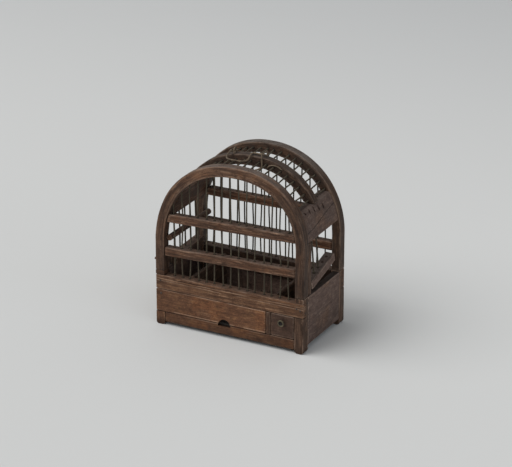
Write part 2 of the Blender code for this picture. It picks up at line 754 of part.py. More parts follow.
def build_base_rails(shop):
    """Rails over the front and rear panels, halved over the legs, with a seat for each wire's foot."""
    for wall, facing in (("front", -1), ("rear", 1)):
        name = f"{wall}_base_rail"
        top = base_top(facing)
        rail = board(shop, name, (-HALF_WIDTH, facing * HALF_DEPTH, BASE_RAIL_BOTTOM),
                     (HALF_WIDTH, facing * HOOP_INNER, top), "warm_oak")
        laps = []
        for side in (-1, 1):
            outer = (side * (HALF_WIDTH + CUT_OVERRUN), facing * (HALF_DEPTH - LAP_DEPTH),
                     BASE_RAIL_BOTTOM - CUT_OVERRUN)
            inner = (side * BETWEEN_LEGS, facing * (HOOP_INNER - CUT_OVERRUN), top + CUT_OVERRUN)
            laps.append((outer, inner))
        shop.cut(rail, name + "_laps", boxes_mesh(name + "_laps", laps))
        rods = []
        for index in range(WALL_WIRE_COUNT):
            x = wall_wire_x(index, 0, facing)
            y = facing * WIRE_PLANE
            rods.append(((x, y, top - WIRE_SEAT), (x, y, top + CUT_OVERRUN)))
        shop.cut(rail, name + "_holes", rods_mesh(name + "_holes", rods, HOLE_RADIUS))
        if facing < 0:
            scribes = []
            for drop in SCRIBE_DROPS:
                reach = HALF_WIDTH + CUT_OVERRUN
                height = top - drop
                outer = (-reach, -HALF_DEPTH - CUT_OVERRUN, height - SCRIBE_WIDTH / 2)
                inner = (reach, -HALF_DEPTH + SCRIBE_DEPTH, height + SCRIBE_WIDTH / 2)
                scribes.append((outer, inner))
            shop.cut(rail, name + "_scribed_lines", boxes_mesh(name + "_scribed_lines", scribes))


def rail_height(bottom, rise, x):
    """Height of a rail's lower edge, which climbs from left to right."""
    return bottom + rise * (x + HALF_WIDTH) / CAGE_WIDTH


def wall_rail(shop, name, facing, bottom, thickness, rise):
    """A rail between the legs or the hoop, climbing a little from left to right."""
    corners = []
    for side, offset in ((-1, 0), (1, 0), (1, thickness), (-1, thickness)):
        height = rail_height(bottom, rise, side * LEG_INNER) + offset
        end = hoop_side(height, side, LEG_WIDTH, CROWN_WIDTH, facing * HALF_DEPTH)
        corners.append((end - side * FIT_GAP, height))
    centre = (0, facing * WIRE_PLANE, 0)
    rail = shop.place(name, outline_mesh(name, corners, RAIL_DEPTH, FRONT_VIEW, centre), "warm_oak")
    round_edges(rail)
    return rail


def wall_wire_path(index, facing, middle, upper, rise):
    """One wire from its seat in the base, through both rails, into the hoop."""
    x = [wall_wire_x(index, level, facing) for level in range(4)]
    mouth, hole_top = hoop_hole(x[3], facing)
    path = [
        (x[0], base_top(facing) - WIRE_SEAT + FIT_GAP),
        (x[1], rail_height(middle, rise, x[1]) + MIDDLE_RAIL_HEIGHT / 2),
        (x[2], rail_height(upper, rise, x[2]) + UPPER_RAIL_HEIGHT / 2),
        (x[3], mouth + CUT_OVERRUN - FIT_GAP),
        (x[3], hole_top - FIT_GAP),
    ]
    return [(across, facing * WIRE_PLANE, height) for across, height in path]


def build_walls(shop):
    """The wire walls: a middle rail joined with its wires, and a drilled upper rail."""
    walls = (
        ("front", -1, FRONT_MIDDLE_RAIL_BOTTOM, FRONT_UPPER_RAIL_BOTTOM, FRONT_RAIL_RISE),
        ("rear", 1, REAR_MIDDLE_RAIL_BOTTOM, REAR_UPPER_RAIL_BOTTOM, REAR_RAIL_RISE),
    )
    for wall, facing, middle, upper, rise in walls:
        name = f"{wall}_grille"
        grille = wall_rail(shop, name, facing, middle, MIDDLE_RAIL_HEIGHT, rise)
        paths = [wall_wire_path(index, facing, middle, upper, rise) for index in range(WALL_WIRE_COUNT)]
        shop.join(grille, name + "_wires", wire_mesh(name + "_wires", paths, WIRE_DIAMETER))
        name = f"{wall}_upper_rail"
        rail = wall_rail(shop, name, facing, upper, UPPER_RAIL_HEIGHT, rise)
        rods = []
        for index in range(WALL_WIRE_COUNT):
            x = wall_wire_x(index, 2, facing)
            low = rail_height(upper, rise, x) - CUT_OVERRUN
            high = low + UPPER_RAIL_HEIGHT + 2 * CUT_OVERRUN
            rods.append(((x, facing * WIRE_PLANE, low), (x, facing * WIRE_PLANE, high)))
        shop.cut(rail, name + "_holes", rods_mesh(name + "_holes", rods, HOLE_RADIUS))


def notch_mesh(name):
    """A half oval that cuts the finger notch through the panel and the tray's front."""
    outline = []
    for step in range(NOTCH_STEPS + 1):
        angle = math.pi * step / NOTCH_STEPS
        outline.append((NOTCH_PLACE + NOTCH_WIDTH / 2 * math.cos(angle),
                        NOTCH_BOTTOM + NOTCH_HEIGHT * math.sin(angle)))
    thickness = 2 * (PANEL_THICKNESS + CUT_OVERRUN)
    return outline_mesh(name, outline, thickness, FRONT_VIEW, (0, -HALF_DEPTH, 0))


def build_base_boards(shop):
    """Panels, partitions, divider, shelf, runners and door stiles of the base."""
    panel_inner = HALF_DEPTH - PANEL_THICKNESS
    panel = board(shop, "front_panel", (-HALF_WIDTH, -HALF_DEPTH, PANEL_BOTTOM),
                  (DIVIDER_LEFT - FIT_GAP, -panel_inner, PANEL_TOP), "warm_oak")
    shop.cut(panel, "front_panel_notch", notch_mesh("front_panel_notch"))
    outer = (-HALF_WIDTH - CUT_OVERRUN, LAP_DEPTH - HALF_DEPTH, PANEL_BOTTOM - CUT_OVERRUN)
    inner = (-BETWEEN_LEGS, CUT_OVERRUN - panel_inner, PANEL_TOP + CUT_OVERRUN)
    shop.cut(panel, "front_panel_lap", boxes_mesh("front_panel_lap", [(outer, inner)]))
    board(shop, "rear_panel", (-BETWEEN_LEGS, panel_inner, SIDE_PANEL_LIFT),
          (BETWEEN_LEGS, HALF_DEPTH, PANEL_TOP), "worn_oak")
    board(shop, "drawer_divider", (DIVIDER_LEFT, -HALF_DEPTH, PANEL_BOTTOM),
          (DIVIDER_RIGHT, -HOOP_INNER, PANEL_TOP), "warm_oak")
    for hand, side in (("left", -1), ("right", 1)):
        across = sorted((side * SIDE_PANEL_INNER, side * HALF_WIDTH))
        board(shop, f"{hand}_side_panel", (across[0], -BETWEEN_HOOPS, SIDE_PANEL_LIFT),
              (across[1], BETWEEN_HOOPS, SIDE_PANEL_TOP), "worn_oak")
        across = sorted((side * (HALF_WIDTH - STILE_THICKNESS), side * HALF_WIDTH))
        board(shop, f"{hand}_door_stile", (across[0], -BETWEEN_HOOPS, HOOP_FOOT),
              (across[1], STILE_WIDTH - BETWEEN_HOOPS, SHOULDER_BOTTOM - FIT_GAP), "worn_oak")
        centre = side * PARTITION_PLACE
        half = PARTITION_THICKNESS / 2
        board(shop, f"{hand}_partition", (centre - half, -BETWEEN_HOOPS, PANEL_BOTTOM),
              (centre + half, BETWEEN_HOOPS, BASE_TOP), "dark_oak")
        runner_top = TRAY_LIFT - FIT_GAP
        inner = LEG_INNER + LEG_WIDTH / 2 - RUNNER_WIDTH
        across = sorted((side * inner, side * (inner + RUNNER_WIDTH)))
        board(shop, f"{hand}_tray_runner", (across[0], -BETWEEN_HOOPS, runner_top - RUNNER_HEIGHT),
              (across[1], BETWEEN_HOOPS, runner_top), "dark_oak")
    shelf_front = DRAWER_FRONT_THICKNESS + FIT_GAP - HALF_DEPTH
    board(shop, "drawer_shelf", (PARTITION_OUTER + FIT_GAP, shelf_front, PANEL_BOTTOM),
          (BETWEEN_LEGS, BETWEEN_HOOPS, PANEL_BOTTOM + SHELF_THICKNESS), "dark_oak")


def open_box(shop, name, low, high, wall, finish, parent):
    """Add a thin-walled box that is open at the top."""
    piece = shop.place(name, boxes_mesh(name, [(low, high)]), finish, parent=parent)
    inner_low = [place + wall for place in low]
    inner_high = (high[0] - wall, high[1] - wall, high[2] + CUT_OVERRUN)
    hollow = boxes_mesh(name + "_hollow", [(inner_low, inner_high)])
    shop.cut(piece, name + "_hollow", hollow, parent=parent)


def build_litter_tray(shop):
    """The tray under the floor, a folded sheet pan behind a wooden front."""
    holder = shop.empty("litter_tray_slide", (0, -HALF_DEPTH, TRAY_LIFT), parent=shop.frame)
    front_low = (-BETWEEN_LEGS, 0, FOOT_HEIGHT - TRAY_LIFT)
    front_high = (BETWEEN_LEGS, TRAY_FRONT_THICKNESS, TRAY_FRONT_TOP - TRAY_LIFT)
    front = board(shop, "tray_front", front_low, front_high, "warm_oak", parent=holder)
    shop.cut(front, "tray_front_notch", notch_mesh("tray_front_notch"))
    half = BETWEEN_LEGS - FIT_GAP
    low = (-half, TRAY_FRONT_THICKNESS + FIT_GAP, 0)
    high = (half, TRAY_BACK + HALF_DEPTH, TRAY_WALL_HEIGHT)
    open_box(shop, "tray_pan", low, high, TRAY_SHEET, "dull_tin", holder)


def knob_mesh(name):
    """A turned knob with a dished face, made as a profile for the Screw modifier."""
    rim = KNOB_RADIUS - KNOB_RIM
    waist = KNOB_REACH / 2
    profile = [(0, KNOB_REACH - KNOB_DISH), (rim, KNOB_REACH - KNOB_DISH / 2),
               (rim + KNOB_RIM / 2, KNOB_REACH), (KNOB_RADIUS, KNOB_REACH - KNOB_DISH),
               (KNOB_RADIUS, waist), (KNOB_NECK_RADIUS, waist - KNOB_DISH),
               (KNOB_NECK_RADIUS, 0), (0, 0)]
    mesh = bpy.data.meshes.new(name)
    edges = [(index, index + 1) for index in range(len(profile) - 1)]
    mesh.from_pydata([(radius, 0, height) for radius, height in profile], edges, [])
    return mesh


def build_seed_drawer(shop):
    """The seed drawer behind its small front, with the turned knob."""
    holder = shop.empty("seed_drawer_slide", (0, -HALF_DEPTH, PANEL_BOTTOM), parent=shop.frame)
    left = DIVIDER_RIGHT + DRAWER_GAP
    right = LEG_INNER - DRAWER_GAP
    board(shop, "drawer_front", (left, 0, 0), (right, DRAWER_FRONT_THICKNESS, PANEL_HEIGHT),
          "warm_oak", parent=holder)
    start = DRAWER_FRONT_THICKNESS + FIT_GAP
    low = (PARTITION_OUTER + DRAWER_GAP, start, SHELF_THICKNESS + FIT_GAP)
    high = (right, start + DRAWER_LENGTH, PANEL_HEIGHT - DRAWER_WALL_DROP)
    open_box(shop, "drawer_box", low, high, DRAWER_WALL, "dark_oak", holder)
    place = ((left + right) / 2, -FIT_GAP, PANEL_HEIGHT / 2 + KNOB_RISE)
    knob = shop.place("drawer_knob", knob_mesh("drawer_knob"), "brass", place,
                      (math.radians(90), 0, 0), parent=holder)
    screw = knob.modifiers.new("turn", "SCREW")
    screw.steps = KNOB_STEPS
    screw.render_steps = KNOB_STEPS
    screw.use_merge_vertices = True
    screw.merge_threshold = EDGE_ROUND / 20
    screw.use_smooth_shade = True


def build_perch(shop):
    """A round stick from wall to wall, wedged between the left legs and the first wires."""
    x = FIT_GAP + PERCH_DIAMETER / 2 - LEG_INNER
    mesh = bpy.data.meshes.new("perch")
    shape = bmesh.new()
    bmesh.ops.create_cone(shape, cap_ends=True, segments=PERCH_SIDES, radius1=PERCH_DIAMETER / 2,
                          radius2=PERCH_DIAMETER / 2, depth=2 * WIRE_PLANE)
    shape.to_mesh(mesh)
    shape.free()
    mesh.shade_smooth()
    mesh.set_sharp_from_angle(angle=math.radians(50))
    shop.place("perch", mesh, "worn_oak", (x, 0, PERCH_HEIGHT), (math.radians(90), 0, 0))


def build_leg_peg(shop):
    """The peg through the front hoop's left leg, whose head stands proud of the outer face."""
    y = PEG_PLACE - HALF_DEPTH
    head = -HALF_WIDTH - PEG_REACH
    floor = PEG_SEAT - HALF_WIDTH
    hoop = bpy.data.objects["front_hoop"]
    hole = rods_mesh("leg_peg_hole", [((floor, y, PEG_HEIGHT), (head, y, PEG_HEIGHT))], PEG_RADIUS + FIT_GAP)
    shop.cut(hoop, "leg_peg_hole", hole)
    peg = rods_mesh("leg_peg", [((floor - FIT_GAP, y, PEG_HEIGHT), (head, y, PEG_HEIGHT))], PEG_RADIUS)
    shop.place("leg_peg", peg, "dark_oak")


def arc_points(centre, radius, start, end, steps=WIRE_ARC_STEPS):
    """Points of an arc in a plane, as pairs; the angles are in degrees."""
    points = []
    for step in range(steps + 1):
        angle = math.radians(start + (end - start) * step / steps)
        points.append((centre[0] + radius * math.cos(angle), centre[1] + radius * math.sin(angle)))
    return points


def bail_path():
    """The bail lying forward over the roof wires, from its left pin to its right pin."""
    rib_edge = RIB_DEPTH / 2 + BAIL_WIRE / 2

    def height(reach):
        beyond = max(reach - rib_edge, 0) / (BAIL_REACH - rib_edge)
        return -BAIL_DROP * math.sin(beyond * math.pi / 2)

    staple, clip = staple_place(), clip_place()
    left = staple - BAIL_STAPLE_OFFSET
    right = left + BAIL_SPAN
    left_far = left - BAIL_FLARE
    right_far = right + BAIL_FLARE
    flat = [(staple + BAIL_PIN_OVERHANG, 0), (left, 0)]
    leg_end = BAIL_REACH - BAIL_CORNER
    middle = (rib_edge + leg_end) / 2
    flat += [(left, rib_edge), ((left + left_far) / 2, middle)]
    flat += arc_points((left_far + BAIL_CORNER, leg_end), BAIL_CORNER, 180, 90)
    flat += arc_points((right_far - BAIL_CORNER, leg_end), BAIL_CORNER, 90, 0)
    flat += [((right + right_far) / 2, middle), (right, rib_edge)]
    flat += [(right, 0), (clip + BAIL_PIN_OVERHANG, 0)]
    return [(x, -reach, height(reach)) for x, reach in flat]


def build_bail(shop):
    """The folding bail, the staple over its left pin and the hooked clip over its right pin."""
    holder = shop.empty("bail_hinge", (0, 0, BAIL_AXIS_HEIGHT), parent=shop.frame)
    mesh = wire_mesh("hanging_bail", [bail_path()], BAIL_WIRE)
    shop.place("hanging_bail", mesh, "bright_wire", parent=holder)
    place = staple_place()
    floor = rib_top(place) - STAPLE_SEAT
    spring = BAIL_AXIS_HEIGHT
    arc = arc_points((0, spring), STAPLE_HALF_SPAN, 180, 0)
    path = [(place, -STAPLE_HALF_SPAN, floor)] + [(place, y, z) for y, z in arc]
    path.append((place, STAPLE_HALF_SPAN, floor))
    shop.place("bail_staple", wire_mesh("bail_staple", [path], BAIL_WIRE), "iron_wire")
    half = RIB_DEPTH / 2 + FIT_GAP + BAIL_WIRE / 2
    top = BAIL_AXIS_HEIGHT + BAIL_WIRE + FIT_GAP
    corner = BAIL_WIRE
    place = clip_place()
    low = rib_top(place) - CLIP_DROP
    flat = [(half, low)] + arc_points((half - corner, top - corner), corner, 0, 90, 3)
    flat += arc_points((corner - half, top - corner), corner, 90, 180, 3)
    path = [(place, y, z) for y, z in flat]
    path += [(place, -half, low),
             (place - CLIP_HOOK_RUN / 2, -half, low - CLIP_HOOK_DROP * 2 / 3),
             (place - CLIP_HOOK_RUN, -half, low - CLIP_HOOK_DROP)]
    shop.place("bail_clip", wire_mesh("bail_clip", [path], BAIL_WIRE), "bright_wire")


def main():
    """Build the whole cage."""
    clear_scene()
    shop = Workshop()
    build_legs(shop)
    build_hoop(shop, "front_hoop", -1)
    build_hoop(shop, "rear_hoop", 1)
    build_rib(shop)
    build_roof_wires(shop)
    build_shoulder_boards(shop)
    build_base_rails(shop)
    build_base_boards(shop)
    build_walls(shop)
    build_doors(shop)
    build_litter_tray(shop)
    build_seed_drawer(shop)
    build_perch(shop)
    build_leg_peg(shop)
    build_bail(shop)


main()
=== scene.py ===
"""Looks of a miniature wooden birdcage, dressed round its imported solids.

The cage faces -Y and stands on the floor at z = 0. All lengths are in metres.
"""
import logging
import math
from dataclasses import dataclass, replace
from enum import Enum
from typing import Callable, Mapping, Sequence, Union

import bmesh
import bpy
from mathutils import Matrix, Vector, noise


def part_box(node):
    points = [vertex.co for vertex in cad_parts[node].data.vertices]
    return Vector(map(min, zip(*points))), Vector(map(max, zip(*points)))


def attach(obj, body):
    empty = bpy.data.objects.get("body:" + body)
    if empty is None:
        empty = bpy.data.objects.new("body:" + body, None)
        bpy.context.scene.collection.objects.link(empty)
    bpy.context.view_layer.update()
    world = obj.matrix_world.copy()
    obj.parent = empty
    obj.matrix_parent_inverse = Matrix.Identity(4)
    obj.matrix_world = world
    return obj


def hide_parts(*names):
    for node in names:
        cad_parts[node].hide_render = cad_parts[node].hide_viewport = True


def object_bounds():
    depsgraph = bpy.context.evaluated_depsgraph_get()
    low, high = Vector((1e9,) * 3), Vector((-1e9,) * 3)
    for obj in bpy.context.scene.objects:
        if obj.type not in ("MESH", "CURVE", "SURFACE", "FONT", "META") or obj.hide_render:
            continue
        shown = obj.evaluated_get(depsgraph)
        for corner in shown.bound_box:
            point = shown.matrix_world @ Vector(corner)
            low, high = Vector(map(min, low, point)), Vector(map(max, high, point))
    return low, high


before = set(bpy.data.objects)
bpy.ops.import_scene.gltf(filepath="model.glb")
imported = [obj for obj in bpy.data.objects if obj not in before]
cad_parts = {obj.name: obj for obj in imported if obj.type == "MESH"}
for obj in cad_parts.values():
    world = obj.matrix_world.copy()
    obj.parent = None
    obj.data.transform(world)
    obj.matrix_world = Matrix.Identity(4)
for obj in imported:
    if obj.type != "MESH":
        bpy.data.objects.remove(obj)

LOG = logging.getLogger("wooden_birdcage")

Colour = tuple[float, float, float]
Point = tuple[float, float, float]
Flat = tuple[float, float]
Head = tuple[Point, Point]
Mesh = bpy.types.Mesh
Material = bpy.types.Material
Node = bpy.types.Node
Tree = bpy.types.NodeTree
Socket = bpy.types.NodeSocket
Operand = Union[Socket, float, Sequence[float], None]

TINY = 0.000001
WELD = 0.000004
CUT_REACH = 0.000002
FLAT_TURN = math.radians(0.6)
BOARD_CORNER = math.radians(32)
STRIP_CORNER = math.radians(50)
KNOB_CORNER = math.radians(60)
NOISE_SEED = 5
WANDER = 0.0004


class Grain(Enum):
    """Which way the fibres of a piece of wood run."""

    ACROSS = "x"
    DEEP = "y"
    UPRIGHT = "z"
    ALONG_STRIP = "uv"

    @property
    def turn(self) -> Point:
        """The turn that lays the fibres along x, a little off true.

        Returns:
            Angles about x, y and z.
        """
        if self is Grain.UPRIGHT:
            return 0.02, math.radians(91), 0.0
        if self is Grain.DEEP:
            return 0.0, 0.02, math.radians(-91)
        return 0.0, 0.0, math.radians(0.8)


class Axis(Enum):
    """The axes of the cage, along which a tone can change."""

    ACROSS = 0
    DEEP = 1
    UP = 2


@dataclass(frozen=True)
class WoodFinish:
    """One state of the aged oak.

    The colours are linear; the amounts go from 0 to 1. Figure weighs straight bands against mottling.
    """

    dark: Colour
    mid: Colour
    light: Colour
    roughness: float
    dust: float
    # wear sets how pale the edges get: partly worn wood and partly a painted highlight
    wear: float
    grime: float
    figure: float = 0.8
    streak: float = 0.3


@dataclass(frozen=True)
class MetalFinish:
    """Drawn wire, turned brass or folded sheet, with a patina over its bare metal."""

    bare: Colour
    patina: Colour
    cover: float
    roughness: float
    metallic: float


@dataclass(frozen=True)
class Fade:
    """How the tone of one piece changes along an axis: from start at low to end at high."""

    axis: Axis
    low: float
    high: float
    start: float
    end: float


@dataclass(frozen=True)
class Marks:
    """What sets one piece of wood apart from others of its finish.

    Fades change its tone; on some pieces a fade is painted light or painted shade. The lines are the heights
    of fine pale lines, such as the lips of scribed lines and seams: partly rubbed wear and partly a painted
    highlight.
    A crack runs dark from front to rear, given by its two heights as shares of the board.
    """

    fades: tuple[Fade, ...] = ()
    rubs: tuple[float, ...] = ()
    cracks: tuple[Flat, ...] = ()


@dataclass(frozen=True)
class Pattern:
    """A noise pattern in the wood, by its waves in a metre along and across the fibres."""

    along: float
    across: float
    detail: float
    rough: float
    bend: float = 0.0


BANDS = Pattern(60, 820, 3.0, 0.55, 0.6)
FIBRES = Pattern(260, 3600, 2.0, 0.6, 0.3)
FLECKS = Pattern(700, 6500, 1.0, 0.5)
STREAKS = Pattern(65, 1350, 2.0, 0.55, 0.2)
MOTTLE = Pattern(260, 420, 4.0, 0.62, 0.4)
BLOTCHES_IN_METRE = 150.0
GLOWS_IN_METRE = 70.0
SPECKS_IN_METRE = 1900.0
WARM_GLOW = (1.45, 1.22, 0.92)
RUBBED_PALE = (0.250, 0.170, 0.115, 1.0)
WORN_AND_LIT_EDGE_PALE = (0.340, 0.250, 0.190, 1.0)
SETTLED_DUST = (0.190, 0.165, 0.145, 1.0)
DISH_DARK = (0.010, 0.008, 0.006, 1.0)
FLOOR_DARKENING_HEIGHT = 0.0050

WARM_OAK = WoodFinish(dark=(0.055, 0.024, 0.012), mid=(0.134, 0.064, 0.033), light=(0.233, 0.119, 0.059),
                      roughness=0.58, dust=0.22, wear=0.75, grime=0.45, figure=0.70, streak=0.70)
PANEL_OAK = WoodFinish(dark=(0.058, 0.025, 0.012), mid=(0.126, 0.056, 0.028), light=(0.196, 0.094, 0.042),
                       roughness=0.60, dust=0.20, wear=0.80, grime=0.45, figure=0.30, streak=0.30)
RAIL_OAK = WoodFinish(dark=(0.035, 0.017, 0.009), mid=(0.087, 0.041, 0.023), light=(0.154, 0.078, 0.043),
                      roughness=0.60, dust=0.42, wear=0.42, grime=0.55, figure=0.90, streak=0.85)
HOOP_OAK = WoodFinish(dark=(0.029, 0.014, 0.008), mid=(0.076, 0.038, 0.022), light=(0.142, 0.075, 0.042),
                      roughness=0.56, dust=0.64, wear=0.28, grime=0.42, figure=0.85, streak=0.60)
REAR_OAK = WoodFinish(dark=(0.018, 0.010, 0.006), mid=(0.042, 0.023, 0.014), light=(0.085, 0.048, 0.029),
                      roughness=0.58, dust=0.76, wear=0.40, grime=0.60, figure=0.60, streak=0.25)
LEG_OAK = WoodFinish(dark=(0.029, 0.015, 0.008), mid=(0.067, 0.035, 0.021), light=(0.126, 0.069, 0.042),
                     roughness=0.58, dust=0.25, wear=0.60, grime=0.50, figure=0.75, streak=0.45)
GREY_OAK = WoodFinish(dark=(0.054, 0.033, 0.025), mid=(0.095, 0.060, 0.047), light=(0.155, 0.106, 0.085),
                      roughness=0.68, dust=0.30, wear=0.95, grime=0.45, figure=0.30, streak=0.22)
DRAWER_OAK = WoodFinish(dark=(0.036, 0.018, 0.012), mid=(0.064, 0.034, 0.022), light=(0.095, 0.054, 0.036),
                        roughness=0.62, dust=0.15, wear=0.60, grime=0.50, figure=0.30, streak=0.15)
INNER_OAK = WoodFinish(dark=(0.024, 0.013, 0.008), mid=(0.062, 0.033, 0.020), light=(0.121, 0.069, 0.041),
                       roughness=0.70, dust=0.25, wear=0.30, grime=0.65)
# Near black, for the marks round drilled wires: iron stain and painted shade in the holes.
STAIN_AND_HOLE_SHADE_OAK = WoodFinish(dark=(0.008, 0.006, 0.005), mid=(0.018, 0.012, 0.008), light=(0.034, 0.021, 0.013),
                         roughness=0.75, dust=0.05, wear=0.0, grime=0.4)
RIB_OAK = replace(REAR_OAK, dust=0.22)
TRAY_OAK = replace(PANEL_OAK, dust=0.0)
FOOT_OAK = replace(PANEL_OAK, wear=0.25)
SIDE_OAK = replace(GREY_OAK, dust=0.04)

IRON_WIRE = MetalFinish(bare=(0.160, 0.132, 0.082), patina=(0.046, 0.034, 0.019), cover=0.60,
                        roughness=0.60, metallic=0.12)
DULL_WIRE = MetalFinish(bare=(0.290, 0.215, 0.140), patina=(0.070, 0.047, 0.028), cover=0.52,
                        roughness=0.50, metallic=0.30)
NAIL_IRON = MetalFinish(bare=(0.150, 0.130, 0.110), patina=(0.040, 0.030, 0.024), cover=0.60,
                        roughness=0.50, metallic=0.60)
OLD_BRASS = MetalFinish(bare=(0.360, 0.295, 0.160), patina=(0.070, 0.056, 0.033), cover=0.52,
                        roughness=0.65, metallic=0.40)
DULL_TIN = MetalFinish(bare=(0.115, 0.108, 0.098), patina=(0.034, 0.029, 0.025), cover=0.50,
                       roughness=0.52, metallic=0.65)


@dataclass(frozen=True)
class CageSizes:
    """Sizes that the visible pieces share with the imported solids."""

    width: float = 0.0900
    depth: float = 0.0498
    height: float = 0.0990
    spring: float = 0.0518
    foot: float = 0.0322
    front_fullness: float = 2.24
    rear_fullness: float = 2.10
    front_lean: float = 0.0038
    rear_lean: float = 0.0005
    rear_drop: float = 0.0005
    leg_width: float = 0.0052
    crown_width: float = 0.0059
    hoop_depth: float = 0.0057
    rib_depth: float = 0.0050
    shoulder_top: float = 0.0775
    gap: float = 0.0003
    rail_depth: float = 0.0046
    rail_recess: float = 0.0005
    middle_rail: float = 0.0049
    upper_rail: float = 0.0046
    wire: float = 0.00095
    wall_wires: int = 15
    wall_margin: float = 0.00515
    roof_wires_per_side: int = 9

    @property
    def half_width(self) -> float:
        """Half the width over the legs."""
        return self.width / 2

    @property
    def half_depth(self) -> float:
        """Half the depth over the legs."""
        return self.depth / 2

    @property
    def rise(self) -> float:
        """Rise of the hoops over their spring."""
        return self.height - self.spring

    @property
    def hoop_inner(self) -> float:
        """Depth of the hoops' inner faces."""
        return self.half_depth - self.hoop_depth

    @property
    def leg_inner(self) -> float:
        """Place of the legs' inner faces."""
        return self.half_width - self.leg_width

    @property
    def wire_plane(self) -> float:
        """Depth of the wires in a wall."""
        return self.half_depth - self.rail_recess - self.rail_depth / 2

    def shape_at(self, depth: float) -> tuple[float, float, float]:
        """The shape of the cage's oval at one depth.

        Args:
            depth: where from front to rear.

        Returns:
            The oval's lean, fullness and rise.
        """
        share = min(max((depth + self.hoop_inner) / (2 * self.hoop_inner), 0.0), 1.0)
        lean = self.front_lean + (self.rear_lean - self.front_lean) * share
        fullness = self.front_fullness + (self.rear_fullness - self.front_fullness) * share
        return lean, fullness, self.rise - self.rear_drop * share

    def oval(self, angle: float, side: float, crown: float, depth: float) -> Flat:
        """A point of the leaning half oval.

        Args:
            angle: from the right spring to the left one, in radians.
            side: how far inside the outer face at the spring.
            crown: how far under the outer face at the crown.
            depth: where from front to rear.

        Returns:
            The point's place across and its height.
        """
        lean, fullness, rise = self.shape_at(depth)
        height = (rise - crown) * math.sin(angle) ** (2 / fullness)
        cosine = math.cos(angle)
        reach = (self.half_width - side) * math.copysign(abs(cosine) ** (2 / fullness), cosine)
        return reach + lean * height / rise, self.spring + height

    def angle_at(self, height: float, crown: float, depth: float) -> float:
        """The angle on the right half of the oval at a height."""
        _, fullness, rise = self.shape_at(depth)
        return math.asin(((height - self.spring) / (rise - crown)) ** (fullness / 2))

    def height_over(self, x: float, side: float, crown: float, depth: float) -> float:
        """Find the height of the leaning oval over a place across, by halving.

        Args:
            x: the place across.
            side: how far inside the outer face at the spring.
            crown: how far under the outer face at the crown.
            depth: where from front to rear.

        Returns:
            The height.
        """
        low, high = 0.0, math.pi
        for _ in range(40):
            middle = (low + high) / 2
            if self.oval(middle, side, crown, depth)[0] > x:
                low = middle
            else:
                high = middle
        return self.oval(low, side, crown, depth)[1]

    def side_at(self, height: float, side: float, depth: float) -> float:
        """Where the inner face of a hoop or leg lies at a height.

        Args:
            height: the height over the floor.
            side: 1 for the right leg or -1 for the left one.
            depth: where from front to rear.

        Returns:
            The place across.
        """
        lean, fullness, rise = self.shape_at(depth)
        climb = max(height - self.spring, 0.0)
        reach = self.leg_inner * (1 - (climb / (rise - self.crown_width)) ** fullness) ** (1 / fullness)
        return side * reach + lean * climb / rise


SIZES = CageSizes()


def cage_shift() -> Vector:
    """How far the cage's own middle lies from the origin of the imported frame."""
    low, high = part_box("front_base_rail")
    return Vector(((low.x + high.x) / 2, low.y + SIZES.half_depth, 0))


SHIFT = cage_shift()
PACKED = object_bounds()


